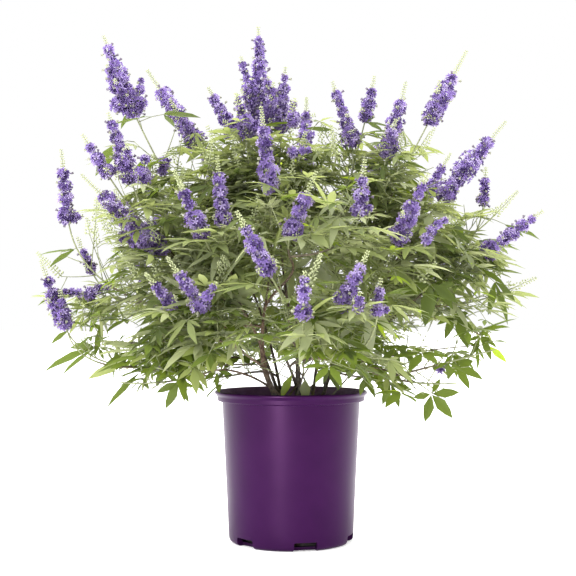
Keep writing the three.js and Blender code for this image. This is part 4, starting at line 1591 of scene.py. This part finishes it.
# %% Leaf materials
LEAF_COLOURS = {
    "deep": ((0.146, 0.186, 0.048, 1), (0.215, 0.248, 0.108, 1)),
    "full": ((0.080, 0.114, 0.014, 1), (0.112, 0.150, 0.032, 1)),
    "grey": ((0.200, 0.240, 0.088, 1), (0.285, 0.312, 0.172, 1)),
    "pale": ((0.265, 0.296, 0.156, 1), (0.335, 0.358, 0.235, 1)),
    "new": ((0.280, 0.390, 0.028, 1), (0.330, 0.425, 0.065, 1)),
}
GLOW_COLOURS = {
    "deep": (0.285, 0.330, 0.088, 1),
    "full": (0.135, 0.190, 0.015, 1),
    "grey": (0.365, 0.415, 0.126, 1),
    "pale": (0.410, 0.446, 0.198, 1),
    "new": (0.440, 0.570, 0.035, 1),
}
SEE_THROUGH = 0.57


def let_light_through(material, shader, colour, share):
    """Mix the shader with a share of light that comes through from the other side."""
    nodes = material.node_tree.nodes
    links = material.node_tree.links
    glow = nodes.new("ShaderNodeBsdfTranslucent")
    glow.inputs["Color"].default_value = colour
    mix = nodes.new("ShaderNodeMixShader")
    mix.inputs["Fac"].default_value = share
    links.new(shader.outputs["BSDF"], mix.inputs[1])
    links.new(glow.outputs["BSDF"], mix.inputs[2])
    links.new(mix.outputs["Shader"], nodes["Material Output"].inputs["Surface"])


def make_leaf_material(tone):
    """A leaf's green above, its paler green below, and the light that comes through it."""
    top, underside = LEAF_COLOURS[tone]
    material, shader = start_material("leaf_" + tone, 0.62)
    shader.inputs["Specular IOR Level"].default_value = 0.3
    shader.inputs["Sheen Weight"].default_value = 0.15
    nodes = material.node_tree.nodes
    links = material.node_tree.links
    sides = nodes.new("ShaderNodeNewGeometry")
    colour = nodes.new("ShaderNodeMix")
    colour.data_type = "RGBA"
    colour.inputs["A"].default_value = top
    colour.inputs["B"].default_value = underside
    links.new(sides.outputs["Backfacing"], colour.inputs["Factor"])
    links.new(colour.outputs["Result"], shader.inputs["Base Color"])
    let_light_through(material, shader, GLOW_COLOURS[tone], SEE_THROUGH)
    grain = add_grain(material, 420)
    add_bump(material, shader, grain.outputs["Height"], 0.25, 0.0005)
    return material


foliage_nodes = ["foliage_" + name for name in MASSES]
for tone in LEAF_COLOURS:
    chosen = [leaf for leaf in leaves if leaf["tone"] == tone]
    arrays = make_leaflets(spread_leaflets(chosen))
    piece = piece_from_arrays("leaves_" + tone, *arrays)
    finish_piece(piece, make_leaf_material(tone), "foliage", *foliage_nodes)
    print("leaves", tone, len(chosen), "triangles:", len(arrays[1]))

# %% Twig materials
TWIG_GREENS = [(0.3, (0.150, 0.165, 0.065, 1)), (0.7, (0.300, 0.330, 0.150, 1))]
YOUNG_WOODS = [(0.3, (0.060, 0.042, 0.024, 1)), (0.7, (0.190, 0.150, 0.085, 1))]

twig_green = make_mottled("green_twig", 0.7, 180, TWIG_GREENS)[0]
young_wood = make_mottled("young_wood", 0.8, 220, YOUNG_WOODS)[0]
finish_piece(green_twigs, twig_green, "foliage", *foliage_nodes)
finish_piece(shoot_wood, young_wood, "bark", *foliage_nodes)
print("twig finishes:", twig_green.name, young_wood.name)

# %% [markdown]
# ## One flower, one calyx, one bud
# A flower is a short tube that opens into five lobes, the lowest the largest, under a centimetre
# across. It is modelled as a disc of fifteen points: every third point is drawn in to part the
# lobes, and the middle is pushed down to make the throat. The calyx that holds it is a small cup,
# and a bud is a bead.

# %% Flower models
LOBES = 5
POINTS_PER_LOBE = 3


def point_number(vertex):
    angle = math.degrees(math.atan2(vertex.co.y, vertex.co.x)) % 360
    return round(angle / (360 / (LOBES * POINTS_PER_LOBE))) % (LOBES * POINTS_PER_LOBE)


def off_axis(vertex):
    """Whether a vertex stands away from the model's upright axis."""
    return math.hypot(vertex.co.x, vertex.co.y) > 0.1


def model_flower():
    """A flower of radius 1 that opens towards +Z, with its tube below."""
    deselect_all()
    bpy.ops.mesh.primitive_circle_add(
        vertices=LOBES * POINTS_PER_LOBE, radius=1, fill_type="TRIFAN", location=(0, 0, 0)
    )
    flower = bpy.context.object
    bpy.ops.object.mode_set(mode="EDIT")
    pick("VERT", lambda v: off_axis(v) and point_number(v) % POINTS_PER_LOBE == 0)
    bpy.ops.transform.resize(value=(0.34, 0.34, 1), center_override=(0, 0, 0))
    bpy.ops.transform.translate(value=(0, 0, -0.15))
    pick("VERT", lambda v: off_axis(v) and point_number(v) in (1, 2))
    bpy.ops.transform.resize(value=(1.3, 1.3, 1), center_override=(0, 0, 0))
    bpy.ops.transform.translate(value=(0, 0, -0.25))
    pick("VERT", lambda v: not off_axis(v))
    bpy.ops.transform.translate(value=(0, 0, -0.75))
    bpy.ops.object.mode_set(mode="OBJECT")
    return flower


def model_calyx():
    """A four-sided cup, one unit tall, that stands on its narrow end."""
    deselect_all()
    bpy.ops.mesh.primitive_cone_add(
        vertices=4, radius1=0.18, radius2=0.5, depth=1, end_fill_type="TRIFAN", location=(0, 0, 0.5)
    )
    calyx = apply_place(bpy.context.object)
    bpy.ops.object.mode_set(mode="EDIT")
    pick("VERT", lambda v: v.co.z > 0.9 and not off_axis(v))
    bpy.ops.transform.translate(value=(0, 0, -0.3))
    bpy.ops.object.mode_set(mode="OBJECT")
    return calyx


def model_bud():
    """A bead one unit tall."""
    deselect_all()
    bpy.ops.mesh.primitive_uv_sphere_add(segments=4, ring_count=3, radius=0.5, location=(0, 0, 0.5))
    bud = apply_place(bpy.context.object)
    bpy.ops.object.mode_set(mode="EDIT")
    bpy.ops.mesh.select_all(action="SELECT")
    bpy.ops.transform.resize(value=(0.72, 0.72, 1), center_override=(0, 0, 0.5))
    bpy.ops.object.mode_set(mode="OBJECT")
    return bud


flower_template = read_template(model_flower())
calyx_template = read_template(model_calyx())
bud_template = read_template(model_bud())
print("triangles of a flower, a calyx and a bud:",
      [len(template[1]) for template in (flower_template, calyx_template, bud_template)])

# %% [markdown]
# ## Flower spikes
# The spike blooms from the bottom up. Clusters of flowers stand round its axis in whorls, crowded
# at the foot and smaller higher up, and its end is a slim tail of pale buds. A long spike has
# shorter ones at its foot, and small twigs among the leaves end in spikes still in bud.

# %% Plan of spikes
SPIKE_BASE_GIRTH = 5.5
SPIKE_GIRTH_SHARE = 0.08
# How much of a spike is in bloom, and how many pairs of side spikes it has, by the azimuth and
# reach of its tip. The others are open to PLAIN_BLOOM and have no side spikes.
PLAIN_BLOOM = 0.72
HABITS = {
    (14, 372): (0, 0),
    (0, 369): (0, 0),
    (190, 30): (0.9, 3),
    (195, 78): (0.86, 1),
    (250, 24): (0.84, 1),
    (193, 270): (0.86, 1),
    (170, 225): (0.76, 1),
    (205, 283): (0.82, 1),
    (206, 339): (0.74, 1),
    (186, 366): (0.78, 1),
    (156, 150): (0.8, 0),
    (336, 52): (0.82, 1),
    (0, 265): (0.64, 1),
    (345, 175): (0.78, 1),
    (353, 319): (0.7, 0),
    (274, 350): (0.84, 0),
    (286, 322): (0.82, 0),
    (354, 367): (0.9, 0),
    (312, 271): (0.8, 1),
}
# A few small spikes stand apart: foot, direction, length, girth and bloom.
SMALL_SPIKES = [
    ((-247, -62, 637), (-0.35, 0, 1), 66, 12, 0.9),
    ((-222, -62, 637), (0.1, 0, 1), 42, 11, 0.92),
    ((-210, -118, 526), (0.2, 0, 1), 34, 12, 0.95),
    ((-187, -70, 540), (0.3, 0, 0.9), 30, 9, 0.9),
    ((-292, -34, 365), (-1, 0, 0.1), 44, 10, 0.95),
    ((-286, -34, 372), (1, 0, 0.1), 22, 7, 0.9),
    ((-49, -60, 608), (-1, 0, 0.15), 50, 11, 0.9),
    ((-66, -60, 612), (-0.3, 0, 1), 44, 10, 0.9),
    ((0, -50, 620), (1, 0, 0.2), 36, 10, 0.85),
    ((0, -90, 566), (1, 0, 0.12), 38, 7, 0.8),
    ((177, -200, 432), (0.5, 0, 0.8), 26, 8, 0.9),
    ((192, -200, 452), (0.8, 0, 0.5), 22, 7, 0.9),
    ((80, -310, 339), (0.2, 0, 1), 24, 7, 0.9),
    ((-108, -250, 356), (0.5, 0, 0.8), 24, 7, 0.9),
    ((-186, -60, 254), (0.2, 0, 0.9), 12, 6, 1.0),
    ((215, -60, 256), (0.2, 0, 0.9), 14, 7, 1.0),
]


def side_spikes(foot, way, length, bloom, pairs, key):
    """Pairs of branches at the foot of a long spike."""
    found = []
    for pair in range(pairs):
        for half in (0, 180):
            turn = half + pair * 90 + spread(key, pair + 60, 30)
            side = side_way(way, turn, 1.2 + 0.5 * chance(key, pair + 61))
            short = length * (0.44 - 0.08 * pair + 0.14 * chance(key, pair * 3 + half))
            start = foot + way * (3 + pair * 14)
            found.append((start, side, short, 6 + 0.07 * short, bloom, key + half + pair + 0.5))
    return found


def loose_clusters(foot, way, length, girth, bloom, key):
    """Small clusters that stand round the foot of any spike."""
    found = []
    for bit in range(int(1 + length / 36)):
        turn = bit * TWIG_TURN + spread(key, bit + 70, 40)
        side = side_way(way, turn, 0.25 + 0.9 * chance(key, bit + 71))
        start = foot + way * length * (0.16 * chance(key, bit + 73) - 0.1) + side * girth * 0.45
        short = 10 + 9 * chance(key, bit + 72)
        thick = 4.4 + 2.2 * chance(key, bit + 74)
        found.append((start, side, short, thick, bloom, key + bit * 1.9 + 0.7))
    return found


def plan_spikes():
    """Every spike as foot, direction, length, girth, how much of it is in bloom, and a key."""
    spikes = []
    for shoot in shoots:
        if not shoot["spike"]:
            continue
        foot, way, length, key = shoot["throat"], shoot["way"], shoot["spike"], shoot["key"]
        bloom, pairs = HABITS.get(shoot["place"], (PLAIN_BLOOM, 0))
        girth = SPIKE_BASE_GIRTH + SPIKE_GIRTH_SHARE * length
        spikes.append((foot, way, length, girth, bloom, key))
        spikes += side_spikes(foot, way, length, bloom, pairs, key)
        spikes += loose_clusters(foot, way, length, girth, bloom, key)
    for number, (foot, way, length, girth, bloom) in enumerate(SMALL_SPIKES):
        way = unit(np.array(way, float))
        spikes.append((np.array(foot, float), way, length, girth, bloom, 900.0 + number))
    return spikes


spikes = plan_spikes()
print("spikes:", len(spikes))

# %% Flowers on the spikes
DENSE_LENGTH = 108
FLOWER_RADIUS = 4.9
FLOWER_TURN = 137.5
CUP_HEIGHT = 4.6
BUD_HEIGHT = 4.4
# Girth from foot to tip as shares of the widest, for a long dense spike and for a short one.
SHARES = [0, 0.12, 0.5, 0.85, 1]
PLUME = [0.9, 1, 0.86, 0.5, 0.3]
BEADED = [1, 1, 0.76, 0.5, 0.3]


def frame_about(way):
    """Two directions square to a way and to each other."""
    across = unit(np.cross(way, [0.31, 0.95, 0.11]))
    return across, np.cross(way, across)


def place_row(point, way, size, roll):
    """Base point and scaled axes of one small copy whose own +Z looks along way."""
    x = turned(frame_about(way)[0], way, roll)
    y = np.cross(way, x)
    return np.concatenate([point, x * size, y * size, way * size])


def plan_clusters(length, girth, bloom, key):
    """Place, radius and half height of each cluster of open flowers, from the foot up."""
    close = length > DENSE_LENGTH
    in_bloom = length * bloom
    clusters = []
    place = girth * 0.35
    while place < in_bloom:
        radius = girth * np.interp(place / length, SHARES, PLUME if close else BEADED)
        radius *= 0.72 + 0.46 * chance(key, len(clusters) + 200)
        half = radius * 0.82
        clusters.append((place, radius, half))
        place += half * (1.4 if close else 1.95) + 1.2
    return clusters


def open_cluster(spike, number, place, radius, half):
    """Flowers all round one place on a spike, the hidden ones darker by painted shade, with a bare
    cup in six.
    """
    foot, way, length, girth, bloom, key = spike
    across, other = frame_about(way)
    count = int(8 + (0.2 if length > DENSE_LENGTH else 0.28) * radius**2)
    for i in range(count):
        rise = 1 - 2 * (i + 0.5) / count
        angle = math.radians(i * FLOWER_TURN + number * 61 + spread(key, number * 31 + i, 20))
        out = across * math.cos(angle) + other * math.sin(angle)
        ring = math.sqrt(1 - rise * rise)
        deep = 0.55 + 0.62 * chance(key, number * 13 + i * 7)
        look = unit(out * ring + way * (rise * 0.8 + 0.25))
        along = place + rise * half * (0.6 + 0.5 * deep)
        point = foot + way * along + out * radius * deep * (0.15 + 0.85 * ring)
        if i % 6 == 4:
            cups.append(place_row(point, look, CUP_HEIGHT, math.degrees(angle)))
            continue
        size = FLOWER_RADIUS * (0.8 + 0.4 * chance(key, i * 5 + number))
        row = place_row(point, look, size * (1 - 0.2 * place / length), math.degrees(angle) * 3)
        # Flowers set deep in the cluster get half more luck: painted shade, dealing them darker
        # violets.
        flowers.append((row, chance(key, i * 11 + number * 3) + (0.5 if deep < 0.78 else 0)))


def add_bud_tail(spike, place):
    """Rings of four buds from a place on a spike to its tip, each ring between the last's."""
    foot, way, length, girth, bloom, key = spike
    across, other = frame_about(way)
    pair = 0
    while place < length:
        share = place / length
        for i in range(4):
            angle = math.radians(i * 90 + pair * 45 + spread(key, pair * 5 + i, 15))
            out = across * math.cos(angle) + other * math.sin(angle)
            look = unit(out + way * 0.5)
            size = BUD_HEIGHT * (1 - 0.45 * share) * (0.8 + 0.4 * chance(key, i * 5 + pair))
            point = foot + way * place + out * (0.9 + 2.8 * (1 - share))
            buds.append(place_row(point, look, size, math.degrees(angle)))
        place += 5.4 * (1 - 0.4 * share)
        pair += 1


def dress_spike(spike):
    foot, way, length, girth, bloom, key = spike
    clusters = plan_clusters(length, girth, bloom, key)
    for number, cluster in enumerate(clusters):
        open_cluster(spike, number, *cluster)
    add_bud_tail(spike, clusters[-1][0] + clusters[-1][2] if clusters else 2.0)


flowers = []
cups = []
buds = []
for spike in spikes:
    dress_spike(spike)
print("flowers:", len(flowers), "cups:", len(cups), "buds:", len(buds))

# %% [markdown]
# The small spikes among the leaves are still closed. They stand at the ends of some twigs and
# show as pale beads against the green.

# %% Closed spikes on twigs
CLOSED_SPIKE = 34
CLOSED_SHARE = 0.3
CLOSED_ABOVE = 360
SPIKE_STEM_RADII = [0.8, 0.65, 0.5, 0.3]


def add_closed_spikes():
    stems = []
    for twig in twigs:
        end = twig["curve"][-1]
        if chance(twig["key"], 90) > CLOSED_SHARE or end[2] < CLOSED_ABOVE:
            continue
        way = unit(way_at(twig["curve"], 1) + np.array([0, 0, 0.9]))
        length = CLOSED_SPIKE * (0.7 + 0.8 * chance(twig["key"], 91))
        dress_spike((end, way, length, 3.0, 0, twig["key"]))
        stems.append(np.linspace(end - way, end + way * length, 4))
    return np.array(stems)


closed_stems = add_closed_spikes()
side_stems = np.array([np.linspace(s[0] - s[1] * 2, s[0] + s[1] * s[2], 4) for s in spikes])
spike_paths = np.concatenate([closed_stems, side_stems])
spike_radii = np.tile(SPIKE_STEM_RADII, (len(spike_paths), 1))
spike_stems = piece_from_arrays("spike_stems", *make_tubes(spike_paths, spike_radii, 4))
print("closed spikes:", len(closed_stems), "buds:", len(buds))

# %% [markdown]
# ## Blossom finish
# The lobes are violet, some nearly blue and some pale as they fade, so each flower is dealt one
# of three violets; flowers hidden deep in a cluster lean to the darker ones, as painted shade.
# Petals are thin and matt, with a soft bloom, and light comes through them.

# %% Blossom
PETAL_COLOURS = {
    "pale": (0.470, 0.375, 0.640, 1),
    "violet": (0.270, 0.178, 0.475, 1),
    "deep": (0.092, 0.046, 0.205, 1),
}
# Each flower's luck runs from 0 to 1, and half more when it is hidden, which is painted shade:
# it deals hidden flowers the darker violets. A tone takes up to this.
PETAL_SHARES = {"pale": 0.34, "violet": 0.86, "deep": 1.6}
PETAL_GLOW = 1.4
PETAL_SEE_THROUGH = 0.3


def copy_template(template, rows):
    """Copies of a small model, one for each row of base point and three scaled axes."""
    points, faces = template
    rows = np.array(rows)
    base, x, y, z = (rows[:, i:i + 3][:, None, :] for i in (0, 3, 6, 9))
    spots = base + x * points[None, :, 0:1] + y * points[None, :, 1:2] + z * points[None, :, 2:3]
    starts = np.arange(len(rows))[:, None, None] * len(points)
    return spots.reshape(-1, 3), (faces[None] + starts).reshape(-1, 3)


def make_petal_material(name, colour):
    material, shader = start_material("petal_" + name, 0.7)
    shader.inputs["Base Color"].default_value = colour
    shader.inputs["Specular IOR Level"].default_value = 0.25
    shader.inputs["Sheen Weight"].default_value = 0.25
    glow = tuple(min(1, value * PETAL_GLOW) for value in colour[:3]) + (1,)
    let_light_through(material, shader, glow, PETAL_SEE_THROUGH)
    grain = add_grain(material, 600)
    add_bump(material, shader, grain.outputs["Height"], 0.2, 0.0004)
    return material


low = 0.0
for name, high in PETAL_SHARES.items():
    rows = [row for row, luck in flowers if low <= luck < high]
    arrays = copy_template(flower_template, rows)
    piece = piece_from_arrays("blossom_" + name, *arrays)
    finish_piece(piece, make_petal_material(name, PETAL_COLOURS[name]), "blossom", *foliage_nodes)
    print("blossom", name, len(rows), "triangles:", len(arrays[1]))
    low = high

# %% Calyces and buds
CUP_COLOURS = {"dusky": (0.130, 0.095, 0.150, 1), "grey": (0.320, 0.320, 0.220, 1)}
BUD_COLOUR = (0.42, 0.46, 0.22, 1)


def make_plain(name, colour, roughness, sheen, scale, strength, distance):
    """A material of one colour, with a fine grain that only moves its light."""
    material, shader = start_material(name, roughness)
    shader.inputs["Base Color"].default_value = colour
    shader.inputs["Sheen Weight"].default_value = sheen
    grain = add_grain(material, scale)
    add_bump(material, shader, grain.outputs["Height"], strength, distance)
    return material


def make_downy(name, colour):
    return make_plain(name, colour, 0.75, 0.3, 500, 0.3, 0.0004)


for name, part in (("dusky", [row for i, row in enumerate(cups) if i % 3]), ("grey", cups[::3])):
    piece = piece_from_arrays("cups_" + name, *copy_template(calyx_template, part))
    downy = make_downy("cup_" + name, CUP_COLOURS[name])
    finish_piece(piece, downy, "foliage", *foliage_nodes)
    print("cups", name, "triangles:", len(part) * len(calyx_template[1]))
bud_piece = piece_from_arrays("buds", *copy_template(bud_template, buds))
bud_green = make_downy("bud_green", BUD_COLOUR)
finish_piece(bud_piece, bud_green, "foliage", *foliage_nodes)
finish_piece(spike_stems, bud_green, "foliage", *foliage_nodes)
print("bud triangles:", len(bud_piece.data.polygons))

# %% [markdown]
# ## Loose bark
# Chips of bark lie on the mix in three browns. A chip is a cube pressed flat with its edges
# broken, and each copy is stretched, turned and dropped at its own place.

# %% Bark chips
CHIPS = 620
CHIP_SIZE = 9
CHIP_TURN = 2.39996
CHIP_COLOURS = {
    "dark": (0.030, 0.017, 0.010, 1),
    "brown": (0.085, 0.048, 0.026, 1),
    "worn": (0.180, 0.125, 0.080, 1),
}


def model_chip():
    deselect_all()
    bpy.ops.mesh.primitive_cube_add(size=1, location=(0, 0, 0))
    chip = bpy.context.object
    bpy.ops.object.mode_set(mode="EDIT")
    pick("FACE", lambda face: face.normal.z > 0.9)
    bpy.ops.transform.resize(value=(0.7, 0.55, 1), center_override=(0, 0, 0))
    pick("FACE", lambda face: face.normal.x > 0.5)
    bpy.ops.transform.resize(value=(1, 0.6, 0.7), center_override=(0, 0, 0))
    bpy.ops.mesh.select_all(action="SELECT")
    bpy.ops.mesh.bevel(offset=0.08, segments=1)
    bpy.ops.object.mode_set(mode="OBJECT")
    return chip


def scatter_chips():
    """Chips at even turns from the middle of the pot outwards, dealt to the three browns."""
    rows = {name: [] for name in CHIP_COLOURS}
    limit = wall_radius(SOIL_LEVEL) - WALL - 7
    for i in range(CHIPS):
        reach = limit * math.sqrt(chance(5.1, i))
        angle = i * CHIP_TURN
        level = SOIL_LEVEL + 0.5 + 2.5 * chance(7.7, i)
        point = np.array([reach * math.cos(angle), reach * math.sin(angle), level])
        x = heading(360 * chance(2.2, i), 90 - 24 * chance(3.3, i))
        y = unit(np.cross([0, 0, 1.0], x))
        z = np.cross(x, y)
        size = CHIP_SIZE * (0.55 + 0.8 * chance(4.4, i))
        name = list(CHIP_COLOURS)[int(chance(6.6, i) * 2.99)]
        rows[name].append(np.concatenate([point, x * size, y * size * 0.6, z * size * 0.3]))
    return rows


chip_template = read_template(model_chip())
for name, rows in scatter_chips().items():
    piece = piece_from_arrays("bark_chips_" + name, *copy_template(chip_template, rows))
    chip_brown = make_plain("chip_" + name, CHIP_COLOURS[name], 0.9, 0, 300, 0.6, 0.001)
    piece.data.materials.append(chip_brown)
    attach(piece, "root")
print("chips:", CHIPS)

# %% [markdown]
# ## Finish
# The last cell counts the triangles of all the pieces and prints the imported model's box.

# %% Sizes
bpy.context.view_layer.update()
shown = [piece for piece in bpy.data.objects if piece.type == "MESH"]
print("triangles in all:", sum(len(p.vertices) - 2 for piece in shown for p in piece.data.polygons))
print("model box:", cad_box)
